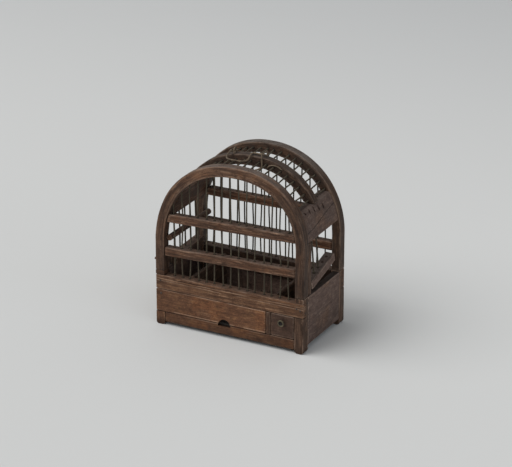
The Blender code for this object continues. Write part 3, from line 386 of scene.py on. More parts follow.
class Graph:
    """Adds and links the nodes of one tree, for materials and for geometry."""

    def __init__(self, tree: Tree) -> None:
        """Keep the tree."""
        self.tree = tree

    def feed(self, socket: Socket, value: Operand) -> None:
        """Link an output to a socket, or set the socket's own value.

        Args:
            socket: the input.
            value: an output or a value; None leaves the input as it is.
        """
        if isinstance(value, bpy.types.NodeSocket):
            self.tree.links.new(value, socket)
        elif value is not None:
            socket.default_value = value

    def add(self, kind: str, inputs: Mapping[str | int, Operand] | None = None, **options: object) -> Node:
        """Add a node.

        Args:
            kind: the node's kind.
            inputs: what each input gets, by its name or its number.
            options: the node's own options, which are set first.

        Returns:
            The node.
        """
        node = self.tree.nodes.new(kind)
        for name, option in options.items():
            setattr(node, name, option)
        for key, value in (inputs or {}).items():
            self.feed(node.inputs[key], value)
        return node

    def math(self, operation: str, *operands: Operand, clamp: bool = False) -> Socket:
        """Add a Math node.

        Args:
            operation: the node's operation.
            operands: numbers or outputs.
            clamp: whether the result stays between 0 and 1.

        Returns:
            The node's output.
        """
        inputs = dict(enumerate(operands))
        return self.add("ShaderNodeMath", inputs, operation=operation, use_clamp=clamp).outputs[0]

    def times(self, first: Operand, second: Operand, clamp: bool = False) -> Socket:
        """Multiply two values."""
        return self.math("MULTIPLY", first, second, clamp=clamp)

    def plus(self, first: Operand, second: Operand) -> Socket:
        """Add two values."""
        return self.math("ADD", first, second)

    def minus(self, first: Operand, second: Operand) -> Socket:
        """Take the second value from the first."""
        return self.math("SUBTRACT", first, second)

    def times_plus(self, first: Operand, second: Operand, third: Operand, clamp: bool = False) -> Socket:
        """Multiply two values and add a third."""
        return self.math("MULTIPLY_ADD", first, second, third, clamp=clamp)

    def vector(self, operation: str, first: Operand, second: Operand) -> Socket:
        """Add a Vector Math node and return its vector."""
        return self.add("ShaderNodeVectorMath", {0: first, 1: second}, operation=operation).outputs[0]

    def scaled(self, vector: Operand, factor: Operand) -> Socket:
        """Scale a vector or a colour."""
        return self.add("ShaderNodeVectorMath", {0: vector, "Scale": factor}, operation="SCALE").outputs[0]

    def parts(self, vector: Operand) -> tuple[Socket, ...]:
        """Take a vector apart."""
        return tuple(self.add("ShaderNodeSeparateXYZ", {0: vector}).outputs)

    def joined(self, *numbers: Operand) -> Socket:
        """Join three numbers to a vector."""
        return self.add("ShaderNodeCombineXYZ", dict(enumerate(numbers))).outputs[0]

    def blend(self, factor: Operand, first: Operand, second: Operand) -> Socket:
        """Mix two colours."""
        return self.add("ShaderNodeMix", {0: factor, 6: first, 7: second}, data_type="RGBA").outputs[2]

    def span(self, value: Operand, low: Operand, high: Operand, start: Operand = 0.0,
             end: Operand = 1.0) -> Socket:
        """Map a value smoothly from one span to another."""
        inputs = dict(enumerate((value, low, high, start, end)))
        return self.add("ShaderNodeMapRange", inputs, interpolation_type="SMOOTHSTEP").outputs[0]

    def noise(self, vector: Operand, scale: float, detail: float = 2.0, rough: float = 0.5,
              bend: float = 0.0) -> Socket:
        """Add a Noise Texture and return its value."""
        return self.add("ShaderNodeTexNoise", {"Vector": vector, "Scale": scale, "Detail": detail,
                                               "Roughness": rough, "Distortion": bend}).outputs[0]

    def pattern(self, vector: Operand, kind: Pattern) -> Socket:
        """Draw out a noise along the fibres, which run along x, and return its value."""
        stretched = self.vector("MULTIPLY", vector, (kind.along, kind.across, kind.across))
        return self.noise(stretched, 1.0, kind.detail, kind.rough, kind.bend)


def new_group(name: str, kind: str, inputs: Mapping[str, Sequence[str]],
              outputs: Mapping[str, Sequence[str]]) -> tuple[Graph, dict[str, Socket], dict[str, Socket]]:
    """Make a node group with named sockets.

    Args:
        name: the group's name.
        kind: ShaderNodeTree or GeometryNodeTree.
        inputs: the names of its inputs by the kind of their sockets.
        outputs: the names of its outputs by the kind of their sockets.

    Returns:
        The graph, its inputs by name and its outputs by name.
    """
    tree = bpy.data.node_groups.new(name, kind)
    for direction, kinds in (("INPUT", inputs), ("OUTPUT", outputs)):
        for socket, labels in kinds.items():
            for label in labels:
                tree.interface.new_socket(label, in_out=direction, socket_type="NodeSocket" + socket)
    graph = Graph(tree)
    source = graph.add("NodeGroupInput")
    target = graph.add("NodeGroupOutput")
    return graph, {s.name: s for s in source.outputs if s.name}, {s.name: s for s in target.inputs if s.name}


class OakEffect:
    """The shared look of old oak, as a node group: grain, pale edges (partly worn wood and partly a painted
    highlight), dust and grime, and its relief.
    """

    def __init__(self) -> None:
        """Build the group; its x runs along the fibres."""
        self.graph, self.given, self.made = new_group(
            "aged_wood", "ShaderNodeTree",
            {"Vector": ("Vector", "Place", "Offset"), "Color": ("Dark", "Mid", "Light"),
             "Float": ("Edge", "Dust", "Wear", "Grime", "Figure", "Streak", "Tone", "Roughness")},
            {"Color": ("Color",), "Float": ("Roughness", "Height")})
        graph, given = self.graph, self.given
        vector = given["Vector"]
        place = graph.vector("ADD", given["Place"], given["Offset"])
        self.fibres = graph.pattern(vector, FIBRES)
        self.streaks = graph.pattern(vector, STREAKS)
        self.mottle = graph.pattern(vector, MOTTLE)
        self.blotch = graph.noise(place, BLOTCHES_IN_METRE, 4.0, 0.6, 0.5)
        self.specks = graph.noise(place, SPECKS_IN_METRE, 2.0, 0.6)
        self.glow = graph.span(graph.noise(place, GLOWS_IN_METRE), 0.50, 0.66, 0.0, 0.45)
        self.pores = graph.span(graph.pattern(vector, FLECKS), 0.60, 0.70, 0.0, 0.55)
        bands = graph.pattern(vector, BANDS)
        self.figured = graph.times_plus(graph.minus(bands, self.mottle), given["Figure"], self.mottle)
        # worn holds the pale edges: partly worn wood and partly a painted highlight
        self.worn = self.wear()
        normal = graph.add("ShaderNodeNewGeometry").outputs["Normal"]
        self.upward = graph.span(graph.parts(normal)[2], 0.62, 0.99, 0.06, 1.0)
        self.dust = self.settle()
        graph.feed(self.made["Color"], self.soil(self.rub(self.grain())))
        self.finish()

    def wear(self) -> Socket:
        """How pale the edges are, in broken runs: partly worn wood and partly a painted highlight.

        Returns:
            A share from 0 to 1.
        """
        graph = self.graph
        mixed = graph.times_plus(self.streaks, 0.6, graph.times(self.blotch, 0.4))
        broken = graph.span(mixed, 0.42, 0.57)
        return graph.times(graph.times(self.given["Edge"], broken), self.given["Wear"])

    def settle(self) -> Socket:
        """How much dust lies on what faces up.

        Returns:
            A share from 0 to 1.
        """
        graph = self.graph
        mixed = graph.times_plus(self.specks, 0.55, graph.times(self.blotch, 0.45))
        settled = graph.span(mixed, 0.34, 0.62)
        return graph.times(graph.times(self.upward, settled), self.given["Dust"], clamp=True)

    def grain(self) -> Socket:
        """Colour the wood itself, with its pores and old stains.

        Returns:
            The colour.
        """
        graph, given = self.graph, self.given
        tone = graph.times_plus(self.figured, 0.55, graph.times(self.fibres, 0.27))
        tone = graph.times_plus(self.blotch, 0.18, tone)
        low = graph.blend(graph.span(tone, 0.37, 0.52), given["Dark"], given["Mid"])
        colour = graph.blend(graph.span(tone, 0.50, 0.61), low, given["Light"])
        colour = graph.blend(self.glow, colour, graph.vector("MULTIPLY", colour, WARM_GLOW))
        colour = graph.blend(self.pores, colour, given["Dark"])
        stains = graph.times(graph.span(self.blotch, 0.50, 0.68), given["Grime"])
        return graph.blend(stains, colour, graph.scaled(given["Dark"], 0.9))

    def rub(self, colour: Socket) -> Socket:
        """Lay sunk and rubbed streaks over the grain, and the pale edges, which are partly worn wood and
        partly a painted highlight.

        Args:
            colour: the colour of the grain.

        Returns:
            The new colour.
        """
        graph, given = self.graph, self.given
        sunk = graph.times(graph.span(self.streaks, 0.42, 0.33), given["Streak"])
        colour = graph.blend(sunk, colour, graph.scaled(given["Dark"], 0.75))
        rubbed = graph.times(graph.span(self.streaks, 0.58, 0.66), graph.span(self.mottle, 0.42, 0.56))
        pale = graph.blend(0.45, graph.scaled(given["Light"], 1.6), RUBBED_PALE)
        colour = graph.blend(graph.times(rubbed, given["Streak"]), colour, pale)
        # Pale edges: partly worn wood and partly a painted highlight.
        worn_and_lit_pale = graph.blend(0.5, graph.scaled(given["Light"], 1.5), WORN_AND_LIT_EDGE_PALE)
        return graph.blend(self.worn, colour, worn_and_lit_pale)

    def soil(self, colour: Socket) -> Socket:
        """Lay specks, the piece's tone (on some pieces painted light or painted shade), dust and grime over
        the wood, and darken it towards the floor.

        Args:
            colour: the colour of the rubbed wood.

        Returns:
            The new colour.
        """
        graph, given = self.graph, self.given
        colour = graph.scaled(colour, graph.span(self.specks, 0.30, 0.70, 0.80, 1.20))
        colour = graph.blend(self.dust, graph.scaled(colour, given["Tone"]), SETTLED_DUST)
        # Darker towards the floor.
        low = graph.span(graph.parts(given["Place"])[2], 0.0, FLOOR_DARKENING_HEIGHT, 1.1, 0.0)
        darkened_low_and_top = graph.math("MAXIMUM", low, graph.times(self.upward, 0.5))
        return graph.blend(graph.times(darkened_low_and_top, given["Grime"]), colour, graph.scaled(given["Dark"], 0.55))

    def finish(self) -> None:
        """Put out the roughness and the height of the surface."""
        graph = self.graph
        rough = graph.times_plus(self.fibres, 0.16, self.given["Roughness"])
        rough = graph.times_plus(self.dust, 0.25, rough)
        graph.feed(self.made["Roughness"], graph.times_plus(self.worn, -0.12, rough, clamp=True))
        height = graph.times_plus(self.fibres, 0.45, graph.times(self.figured, 0.55))
        height = graph.times_plus(self.pores, -0.7, height)
        height = graph.times_plus(self.blotch, 0.6, height)
        graph.feed(self.made["Height"], graph.times_plus(self.specks, 0.12, height))


@dataclass
class Finisher:
    """Builds the shared effects once and makes each piece its own material from them."""

    edge_width: float = 0.0007
    line_core: float = 0.00012
    rub_reach: float = 0.00038
    crack_reach: float = 0.00040
    crack_tone: float = 0.30
    wood_shine: float = 0.22
    wood_relief: Flat = (0.00012, 0.75)
    metal_relief: Flat = (0.00003, 0.5)
    pattern_step: Point = (0.013, 0.007, 0.021)
    count: int = 0

    def __post_init__(self) -> None:
        """Build the shared groups."""
        self.aged_wood = OakEffect().graph.tree
        self.board_edges = self.build_board_edges()
        self.patina = self.build_patina()

    @staticmethod
    def build_board_edges() -> Tree:
        """Build the group that finds how near a point is to a straight board's long edges.

        Returns:
            The group.
        """
        graph, given, made = new_group(
            "board_edges", "ShaderNodeTree", {"Vector": ("Vector", "Low", "High"), "Float": ("Width",)},
            {"Float": ("Edge",)})
        inside = graph.vector("MINIMUM", graph.vector("SUBTRACT", given["Vector"], given["Low"]),
                              graph.vector("SUBTRACT", given["High"], given["Vector"]))
        first, second, third = graph.parts(inside)
        smaller = graph.math("MINIMUM", first, second)
        larger = graph.math("MAXIMUM", first, second)
        middle = graph.math("MAXIMUM", smaller, graph.math("MINIMUM", larger, third))
        graph.feed(made["Edge"], graph.span(middle, 0.0, given["Width"], 1.0, 0.0))
        return graph.tree

    @staticmethod
    def build_patina() -> Tree:
        """Build the group that lays patina and rub marks over bare metal.

        Returns:
            The group.
        """
        graph, given, made = new_group(
            "metal_patina", "ShaderNodeTree",
            {"Vector": ("Vector",), "Color": ("Bare", "Patina"), "Float": ("Cover", "Roughness", "Metallic")},
            {"Color": ("Color",), "Float": ("Roughness", "Metallic", "Height")})
        patches = graph.noise(given["Vector"], 320.0, 4.0, 0.65, 0.4)
        fine = graph.noise(given["Vector"], 2600.0, 2.0, 0.6)
        mixed = graph.times_plus(patches, 0.7, graph.times(fine, 0.3))
        low = graph.minus(0.86, given["Cover"])
        cover = graph.span(mixed, graph.minus(low, 0.10), graph.plus(low, 0.28))
        bright = graph.times_plus(cover, -0.75, 1.0, clamp=True)
        graph.feed(made["Color"], graph.blend(cover, given["Bare"], given["Patina"]))
        graph.feed(made["Roughness"], graph.times_plus(cover, 0.28, given["Roughness"], clamp=True))
        graph.feed(made["Metallic"], graph.times(bright, given["Metallic"]))
        graph.feed(made["Height"], graph.times_plus(cover, 0.6, fine))
        return graph.tree

    def start(self, name: str) -> tuple[Material, Graph, Node]:
        """Make a material.

        Args:
            name: the material's name.

        Returns:
            The material, its graph and its shader.
        """
        material = bpy.data.materials.new(name)
        material.use_nodes = True
        self.count += 1
        return material, Graph(material.node_tree), material.node_tree.nodes["Principled BSDF"]

    @staticmethod
    def place_group(graph: Graph, tree: Tree, finish: WoodFinish | MetalFinish) -> Node:
        """Place a shared group in a material, with the values of a finish.

        Args:
            graph: the material's graph.
            tree: the group.
            finish: its fields carry the names of the group's inputs.

        Returns:
            The group's node.
        """
        group = graph.add("ShaderNodeGroup", node_tree=tree)
        for label, value in vars(finish).items():
            graph.feed(group.inputs[label.capitalize()], (*value, 1.0) if isinstance(value, tuple) else value)
        return group

    @staticmethod
    def raise_surface(graph: Graph, shader: Node, height: Socket, relief: Flat) -> None:
        """Raise the surface by a height pattern.

        Args:
            graph: the material's graph.
            shader: its shader.
            height: the pattern.
            relief: how high it stands and how strongly it shows.
        """
        bump = graph.add("ShaderNodeBump", {"Height": height, "Distance": relief[0], "Strength": relief[1]})
        graph.feed(shader.inputs["Normal"], bump.outputs[0])

    def tone(self, graph: Graph, place: Sequence[Socket], marks: Marks,
             corners: tuple[Vector, Vector] | None) -> Operand:
        """The tone of a piece, from its fades and its cracks.

        Args:
            graph: the material's graph.
            place: the parts of the place on the piece.
            marks: the piece's marks.
            corners: lowest and highest corner of a board, for its cracks.

        Returns:
            What its colours are multiplied by.
        """
        tone = 1.0
        for fade in marks.fades:
            share = graph.span(place[fade.axis.value], fade.low, fade.high, fade.start, fade.end)
            tone = graph.times(share, tone)
        for heights in marks.cracks:
            low, high = corners
            ends = [low.z + (high.z - low.z) * end for end in heights]
            away = graph.math("ABSOLUTE", graph.minus(place[2], graph.span(place[1], low.y, high.y, *ends)))
            share = graph.span(away, self.line_core, self.crack_reach, self.crack_tone, 1.0)
            tone = graph.times(share, tone)
        return tone

    def wood(self, name: str, finish: WoodFinish, grain: Grain, corners: tuple[Vector, Vector] | None = None,
             slope: float = 0.0, marks: Marks = Marks()) -> Material:
        """Make the material of one wooden piece.

        Args:
            name: the piece's name.
            finish: the state of the oak.
            grain: which way the fibres run.
            corners: lowest and highest corner of a straight board; a strip has its own edge attribute.
            slope: how far the board is turned about X; its corners are those of the board turned back.
            marks: what sets the piece apart from others.

        Returns:
            The material.
        """
        material, graph, shader = self.start(name + "_oak")
        place = graph.add("ShaderNodeTexCoord").outputs["Object"]
        if slope:
            place = graph.add("ShaderNodeMapping", {"Vector": place, "Rotation": (-slope, 0, 0)}).outputs[0]
        source = place
        if grain is Grain.ALONG_STRIP:
            source = graph.add("ShaderNodeUVMap", uv_map="UVMap").outputs[0]
        offset = [step * self.count for step in self.pattern_step]
        turned = graph.add("ShaderNodeMapping",
                           {"Vector": source, "Rotation": grain.turn, "Location": offset})
        group = self.place_group(graph, self.aged_wood, finish)
        parts = graph.parts(place)
        # The edge mask drives the pale edges: partly worn wood and partly a painted highlight.
        if corners is None:
            edge = graph.add("ShaderNodeAttribute", attribute_name="edge").outputs["Fac"]
        else:
            edge = graph.add("ShaderNodeGroup", node_tree=self.board_edges)
            for label, value in (("Vector", place), ("Low", corners[0]), ("High", corners[1]),
                                 ("Width", self.edge_width)):
                graph.feed(edge.inputs[label], value)
            edge = edge.outputs[0]
        # Pale lines along the lips of scribed lines and seams: partly rubbed wear and partly a painted
        # highlight.
        for height in marks.rubs:
            away = graph.math("ABSOLUTE", graph.minus(parts[2], height))
            edge = graph.math("MAXIMUM", edge, graph.span(away, self.line_core, self.rub_reach, 1.0, 0.0))
        tone = self.tone(graph, parts, marks, corners)
        for label, value in (("Vector", turned.outputs[0]), ("Place", place), ("Offset", offset),
                             ("Tone", tone), ("Edge", edge)):
            graph.feed(group.inputs[label], value)
        graph.feed(shader.inputs["Base Color"], group.outputs["Color"])
        graph.feed(shader.inputs["Roughness"], group.outputs["Roughness"])
        graph.feed(shader.inputs["Specular IOR Level"], self.wood_shine)
        self.raise_surface(graph, shader, group.outputs["Height"], self.wood_relief)
        return material

    def metal(self, name: str, finish: MetalFinish, dished: bool = False) -> Material:
        """Make the material of one metal piece.

        Args:
            name: the piece's name.
            finish: the state of the metal.
            dished: whether it is dark where its dish attribute says so.

        Returns:
            The material.
        """
        material, graph, shader = self.start(name + "_metal")
        group = self.place_group(graph, self.patina, finish)
        graph.feed(group.inputs["Vector"], graph.add("ShaderNodeTexCoord").outputs["Object"])
        colour, metallic = group.outputs["Color"], group.outputs["Metallic"]
        if dished:
            dish = graph.add("ShaderNodeAttribute", attribute_name="dish").outputs["Fac"]
            colour = graph.blend(dish, colour, DISH_DARK)
            metallic = graph.times(metallic, graph.minus(1.0, dish))
        graph.feed(shader.inputs["Base Color"], colour)
        graph.feed(shader.inputs["Roughness"], group.outputs["Roughness"])
        graph.feed(shader.inputs["Metallic"], metallic)
        self.raise_surface(graph, shader, group.outputs["Height"], self.metal_relief)
        return material


def trim(mesh: Mesh, inset: float) -> None:
    """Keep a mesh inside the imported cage's box.

    Args:
        mesh: the mesh, in its place.
        inset: how far its rear side stays inside the box.
    """
    low, high = PACKED
    limits = ((low[0], high[0]), (low[1], high[1] - inset), (low[2], high[2]))
    for vertex in mesh.vertices:
        for axis, (least, most) in enumerate(limits):
            vertex.co[axis] = min(max(vertex.co[axis], least), most)


def link(name: str, mesh: Mesh, material: Material, body: str, nodes: Sequence[str] = (),
         inset: float = 0.00012) -> None:
    """Put a finished mesh into the scene on its body.

    Args:
        name: the piece's name.
        mesh: the mesh, already in its place.
        material: its material.
        body: the body that it moves with.
        nodes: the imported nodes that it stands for.
        inset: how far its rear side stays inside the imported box.
    """
    trim(mesh, inset)
    mesh.materials.clear()
    mesh.materials.append(material)
    for face in mesh.polygons:
        face.material_index = 0
    piece = bpy.data.objects.new(name, mesh)
    bpy.context.scene.collection.objects.link(piece)
    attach(piece, body)
    if nodes:
        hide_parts(*nodes)
    LOG.info("%s: %d faces on %s", name, len(mesh.polygons), body)


def smooth(mesh: Mesh, corner: float = STRIP_CORNER) -> None:
    """Shade a mesh smoothly, apart from edges that turn more than a corner."""
    mesh.shade_smooth()
    mesh.set_sharp_from_angle(angle=corner)


def weld(mesh: Mesh) -> None:
    """Merge the doubled points of a mesh and turn its faces outwards.

    Args:
        mesh: the mesh.
    """
    shape = bmesh.new()
    shape.from_mesh(mesh)
    bmesh.ops.remove_doubles(shape, verts=shape.verts, dist=TINY)
    bmesh.ops.recalc_face_normals(shape, faces=shape.faces)
    shape.to_mesh(mesh)
    shape.free()


def roughen(mesh: Mesh, amount: float, seed: int, length: float = 0.007) -> None:
    """Move each vertex a little, as hand work leaves it.

    Args:
        mesh: the mesh.
        amount: the most that a vertex moves.
        seed: which pattern.
        length: how long the waves are.
    """
    offset = Vector((seed * 3.1, seed * 1.7, seed * 2.3))
    for vertex in mesh.vertices:
        slow = noise.noise_vector(vertex.co / length + offset)
        quick = noise.noise_vector(vertex.co * 3.3 / length - offset)
        vertex.co += (slow * 0.75 + quick * 0.25) * amount


def dressed_mesh(node: str, seed: int, spacing: float = 0.0016, amount: float = 0.00007) -> Mesh:
    """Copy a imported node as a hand-worked board: welded, cut into short bays and slightly uneven.

    Args:
        node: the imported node.
        seed: which unevenness.
        spacing: length of a bay along the board's longest side.
        amount: how far its surface wanders.

    Returns:
        The new mesh.
    """
    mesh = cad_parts[node].data.copy()
    mesh.name = node + "_worked"
    shape = bmesh.new()
    shape.from_mesh(mesh)
    bmesh.ops.remove_doubles(shape, verts=shape.verts, dist=WELD)
    bmesh.ops.dissolve_limit(shape, angle_limit=FLAT_TURN, verts=shape.verts, edges=shape.edges)
    low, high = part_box(node)
    size = high - low
    axis = max(range(3), key=lambda index: size[index])
    normal = Vector((axis == 0, axis == 1, axis == 2))
    bays = max(int(size[axis] / spacing), 1)
    for bay in range(1, bays):
        place = low + normal * (size[axis] * bay / bays)
        geometry = list(shape.verts) + list(shape.edges) + list(shape.faces)
        bmesh.ops.bisect_plane(shape, geom=geometry, dist=CUT_REACH, plane_co=place, plane_no=normal)
    shape.to_mesh(mesh)
    shape.free()
    if mesh.attributes.get("custom_normal"):
        mesh.attributes.remove(mesh.attributes["custom_normal"])
    roughen(mesh, amount, seed)
    smooth(mesh, BOARD_CORNER)
    mesh.update()
    return mesh


@dataclass
class Strip:
    """A closed wooden strip with rounded, marked edges and its own UV map in metres."""

    length: float
    width: float
    depth: float
    bays: int
    round_off: float = 0.0004
    rim: float = 0.0006

    def section(self) -> list[tuple[float, float, float]]:
        """Find the section as a loop of points.

        Returns:
            Its points, each a share of the width, a share of the depth and an edge value.
        """
        across = (self.round_off / self.width, (self.round_off + self.rim) / self.width)
        deep = (self.round_off / self.depth, (self.round_off + self.rim) / self.depth)
        cut = 1 - math.sqrt(0.5)
        side_a = [(across[0], 0, 1), (across[1], 0, 0), (0.5, 0, 0), (1 - across[1], 0, 0),
                  (1 - across[0], 0, 1)]
        side_b = [(1, deep[0], 1), (1, deep[1], 0), (1, 1 - deep[1], 0), (1, 1 - deep[0], 1)]
        loop = side_a + [(1 - across[0] * cut, deep[0] * cut, 1)] + side_b
        loop += [(1 - across[0] * cut, 1 - deep[0] * cut, 1)]
        loop += [(a, 1, e) for a, _, e in reversed(side_a)]
        loop += [(across[0] * cut, 1 - deep[0] * cut, 1)]
        loop += [(0, b, e) for _, b, e in reversed(side_b)]
        loop += [(across[0] * cut, deep[0] * cut, 1)]
        return loop

    def rings(self, shape: bmesh.types.BMesh, layer: bmesh.types.BMLayerItem,
              loop: Sequence[tuple[float, float, float]], along: Sequence[float],
              place: Callable[[float, float, float], Point]) -> list[list[bmesh.types.BMVert]]:
        """Set the strip's points ring by ring, with smaller rings at its ends.

        Args:
            shape: where the points go.
            layer: where each point's edge value goes.
            loop: the section.
            along: the share of the length of each ring.
            place: gives a point from its shares along, across and deep.

        Returns:
            The points of each ring.
        """
        rings = []
        for number, share in enumerate(along):
            ring = []
            last = number in (0, len(along) - 1)
            for across, deep, edge in loop:
                if last:
                    across = 0.5 + (across - 0.5) * (1 - 2 * self.round_off / self.width)
                    deep = 0.5 + (deep - 0.5) * (1 - 2 * self.round_off / self.depth)
                vertex = shape.verts.new(place(share, across, deep))
                vertex[layer] = 1.0 if last or number in (1, len(along) - 2) else edge
                ring.append(vertex)
            rings.append(ring)
        return rings

    def mesh(self, name: str, place: Callable[[float, float, float], Point]) -> Mesh:
        """Build the strip.

        Args:
            name: the mesh's name.
            place: gives a point from its shares along, across and deep.

        Returns:
            The mesh.
        """
        loop = self.section()
        around = [0.0]
        for first, second in zip(loop, loop[1:] + loop[:1]):
            step = math.hypot((second[0] - first[0]) * self.width, (second[1] - first[1]) * self.depth)
            around.append(around[-1] + step)
        cap = self.round_off / self.length
        along = [0.0] + [cap + (1 - 2 * cap) * step / self.bays for step in range(self.bays + 1)] + [1.0]
        shape = bmesh.new()
        edge_layer = shape.verts.layers.float.new("edge")
        uv_layer = shape.loops.layers.uv.new("UVMap")
        rings = self.rings(shape, edge_layer, loop, along, place)
        count = len(loop)
        for number, (first, second) in enumerate(zip(rings, rings[1:])):
            for index in range(count):
                after = (index + 1) % count
                face = shape.faces.new((first[index], first[after], second[after], second[index]))
                corners = ((number, index), (number, index + 1), (number + 1, index + 1), (number + 1, index))
                for corner, (row, step) in zip(face.loops, corners):
                    corner[uv_layer].uv = (along[row] * self.length, around[step])
        for ring in (rings[0], rings[-1]):
            face = shape.faces.new(ring)
            for corner, (across, deep, _) in zip(face.loops, loop):
                corner[uv_layer].uv = (across * self.width, deep * self.depth)
        bmesh.ops.recalc_face_normals(shape, faces=shape.faces)
        mesh = bpy.data.meshes.new(name)
        shape.to_mesh(mesh)
        shape.free()
        smooth(mesh)
        return mesh


def apply_tree(name: str, mesh: Mesh, tree: Tree, settings: Mapping[str, object]) -> Mesh:
    """Run a geometry tree on a mesh.

    Args:
        name: name of the new mesh.
        mesh: what the tree starts from.
        tree: the tree.
        settings: the value of each named input.

    Returns:
        The result as a plain mesh.
    """
    holder = bpy.data.objects.new(name + "_start", mesh)
    bpy.context.scene.collection.objects.link(holder)
    modifier = holder.modifiers.new("tree", "NODES")
    modifier.node_group = tree
    for item in tree.interface.items_tree:
        if item.item_type == "SOCKET" and item.in_out == "INPUT" and item.name in settings:
            modifier[item.identifier] = settings[item.name]
    graph = bpy.context.evaluated_depsgraph_get()
    result = bpy.data.meshes.new_from_object(holder.evaluated_get(graph))
    result.name = name
    bpy.data.objects.remove(holder, do_unlink=True)
    return result


class Trees:
    """The geometry trees for what follows a rule or repeats."""

    def __init__(self) -> None:
        """Build the trees."""
        self.bent_strip = self.build_bent_strip()
        self.wires = self.build_wires()
        self.nails = self.build_nails()

    @staticmethod
    def finish(graph: Graph, geometry: Socket, material: Socket, target: Socket) -> None:
        """End a tree in Realize Instances and Set Material.

        Args:
            graph: the tree's graph.
            geometry: what it has built.
            material: its input for the material.
            target: its output.
        """
        real = graph.add("GeometryNodeRealizeInstances", {0: geometry})
        painted = graph.add("GeometryNodeSetMaterial", {"Geometry": real.outputs[0], "Material": material})
        graph.feed(target, painted.outputs[0])

    @classmethod
    def build_bent_strip(cls) -> Tree:
        """Build the tree that bends a straight strip, given in shares, over the leaning oval.

        Returns:
            The tree.
        """
        graph, given, made = new_group(
            "bent_strip", "GeometryNodeTree",
            {"Geometry": ("Geometry",), "Material": ("Material",),
             "Float": ("Half Width", "Rise", "Spring Height", "Fullness", "Lean", "Leg Width", "Crown Width",
                       "Depth", "Middle Depth", "Outer Start", "Inner Start", "Foot Share", "Foot Drop")},
            {"Geometry": ("Geometry",)})
        along, across, deep = graph.parts(graph.add("GeometryNodeInputPosition").outputs[0])
        inset = graph.minus(1.0, across)
        span = graph.minus(given["Inner Start"], given["Outer Start"])
        start = graph.times_plus(span, inset, given["Outer Start"])
        sweep = graph.minus(math.pi, graph.times(start, 2.0))
        foot = graph.math("MAXIMUM", given["Foot Share"], TINY)
        bow = graph.minus(1.0, graph.times(foot, 2.0))
        turned = graph.math("DIVIDE", graph.minus(along, foot), bow, clamp=True)
        angle = graph.times_plus(sweep, turned, start)
        near = graph.math("MAXIMUM", graph.minus(foot, along), 0.0)
        far = graph.math("MAXIMUM", graph.minus(along, graph.minus(1.0, foot)), 0.0)
        straight = graph.math("DIVIDE", graph.plus(near, far), foot)
        power = graph.math("DIVIDE", 2.0, given["Fullness"])
        sine = graph.math("MAXIMUM", graph.math("SINE", angle), 0.0)
        crown = graph.minus(given["Rise"], graph.times(given["Crown Width"], inset))
        height = graph.times(crown, graph.math("POWER", sine, power))
        cosine = graph.math("COSINE", angle)
        bent = graph.math("POWER", graph.math("ABSOLUTE", cosine), power)
        bent = graph.times(bent, graph.math("SIGN", cosine))
        half = graph.minus(given["Half Width"], graph.times(given["Leg Width"], inset))
        shift = graph.math("DIVIDE", graph.times(given["Lean"], height), given["Rise"])
        reach = graph.times_plus(half, bent, shift)
        depth = graph.plus(graph.times(graph.minus(deep, 0.5), given["Depth"]), given["Middle Depth"])
        level = graph.minus(given["Spring Height"], graph.times(straight, given["Foot Drop"]))
        place = graph.joined(reach, depth, graph.plus(height, level))
        moved = graph.add("GeometryNodeSetPosition", {"Geometry": given["Geometry"], "Position": place})
        cls.finish(graph, moved.outputs[0], given["Material"], made["Geometry"])
        return graph.tree

    @classmethod
    def build_wires(cls) -> Tree:
        """Build the tree that turns rows of joined points into round, slightly uneven wires.

        Returns:
            The tree.
        """
        graph, given, made = new_group(
            "hand_set_wires", "GeometryNodeTree",
            {"Geometry": ("Geometry",), "Float": ("Radius", "Bay", "Waver", "Wave Scale", "Seed"),
             "Int": ("Sides",), "Material": ("Material",)},
            {"Geometry": ("Geometry",)})
        curve = graph.add("GeometryNodeMeshToCurve", {0: given["Geometry"]})
        rounded = graph.add("GeometryNodeCurveSplineType", {0: curve.outputs[0]}, spline_type="CATMULL_ROM")
        bays = graph.add("GeometryNodeResampleCurve", {"Curve": rounded.outputs[0], "Length": given["Bay"]},
                         mode="LENGTH")
        position = graph.add("GeometryNodeInputPosition").outputs[0]
        wave = graph.add("ShaderNodeTexNoise", {"Vector": position, "W": given["Seed"],
                                                "Scale": given["Wave Scale"]}, noise_dimensions="4D")
        centred = graph.vector("SUBTRACT", wave.outputs["Color"], (0.5, 0.5, 0.5))
        moved = graph.add("GeometryNodeSetPosition", {"Geometry": bays.outputs[0],
                                                      "Offset": graph.scaled(centred, given["Waver"])})
        ring = graph.add("GeometryNodeCurvePrimitiveCircle", {"Resolution": given["Sides"],
                                                              "Radius": given["Radius"]})
        tube = graph.add("GeometryNodeCurveToMesh", {"Curve": moved.outputs[0],
                                                     "Profile Curve": ring.outputs[0], "Fill Caps": True})
        cls.finish(graph, tube.outputs[0], given["Material"], made["Geometry"])
        return graph.tree

    @classmethod
    def build_nails(cls) -> Tree:
        """Build the tree that sets a small domed head on each point, turned to the point's facing.

        Returns:
            The tree.
        """
        graph, given, made = new_group(
            "nail_heads", "GeometryNodeTree",
            {"Geometry": ("Geometry",), "Float": ("Radius", "Dome"), "Material": ("Material",)},
            {"Geometry": ("Geometry",)})
        head = graph.add("GeometryNodeMeshUVSphere", {"Segments": 12, "Rings": 6, "Radius": given["Radius"]})
        flat = graph.add("GeometryNodeTransform", {"Geometry": head.outputs[0],
                                                   "Scale": graph.joined(1.0, 1.0, given["Dome"])})
        facing = graph.add("GeometryNodeInputNamedAttribute", {"Name": "facing"}, data_type="FLOAT_VECTOR")
        turn = graph.add("FunctionNodeAlignRotationToVector", {"Vector": facing.outputs[0]}, axis="Z")
        points = graph.add("GeometryNodeInstanceOnPoints", {"Points": given["Geometry"],
                                                            "Instance": flat.outputs[0],
                                                            "Rotation": turn.outputs[0]})
        cls.finish(graph, points.outputs[0], given["Material"], made["Geometry"])
        return graph.tree


@dataclass(frozen=True)
class Board:
    """How one packed board is finished, and the record's slot that this comes from."""

    node: str
    finish: WoodFinish
    grain: Grain
    slot: str
    marks: Marks = Marks()


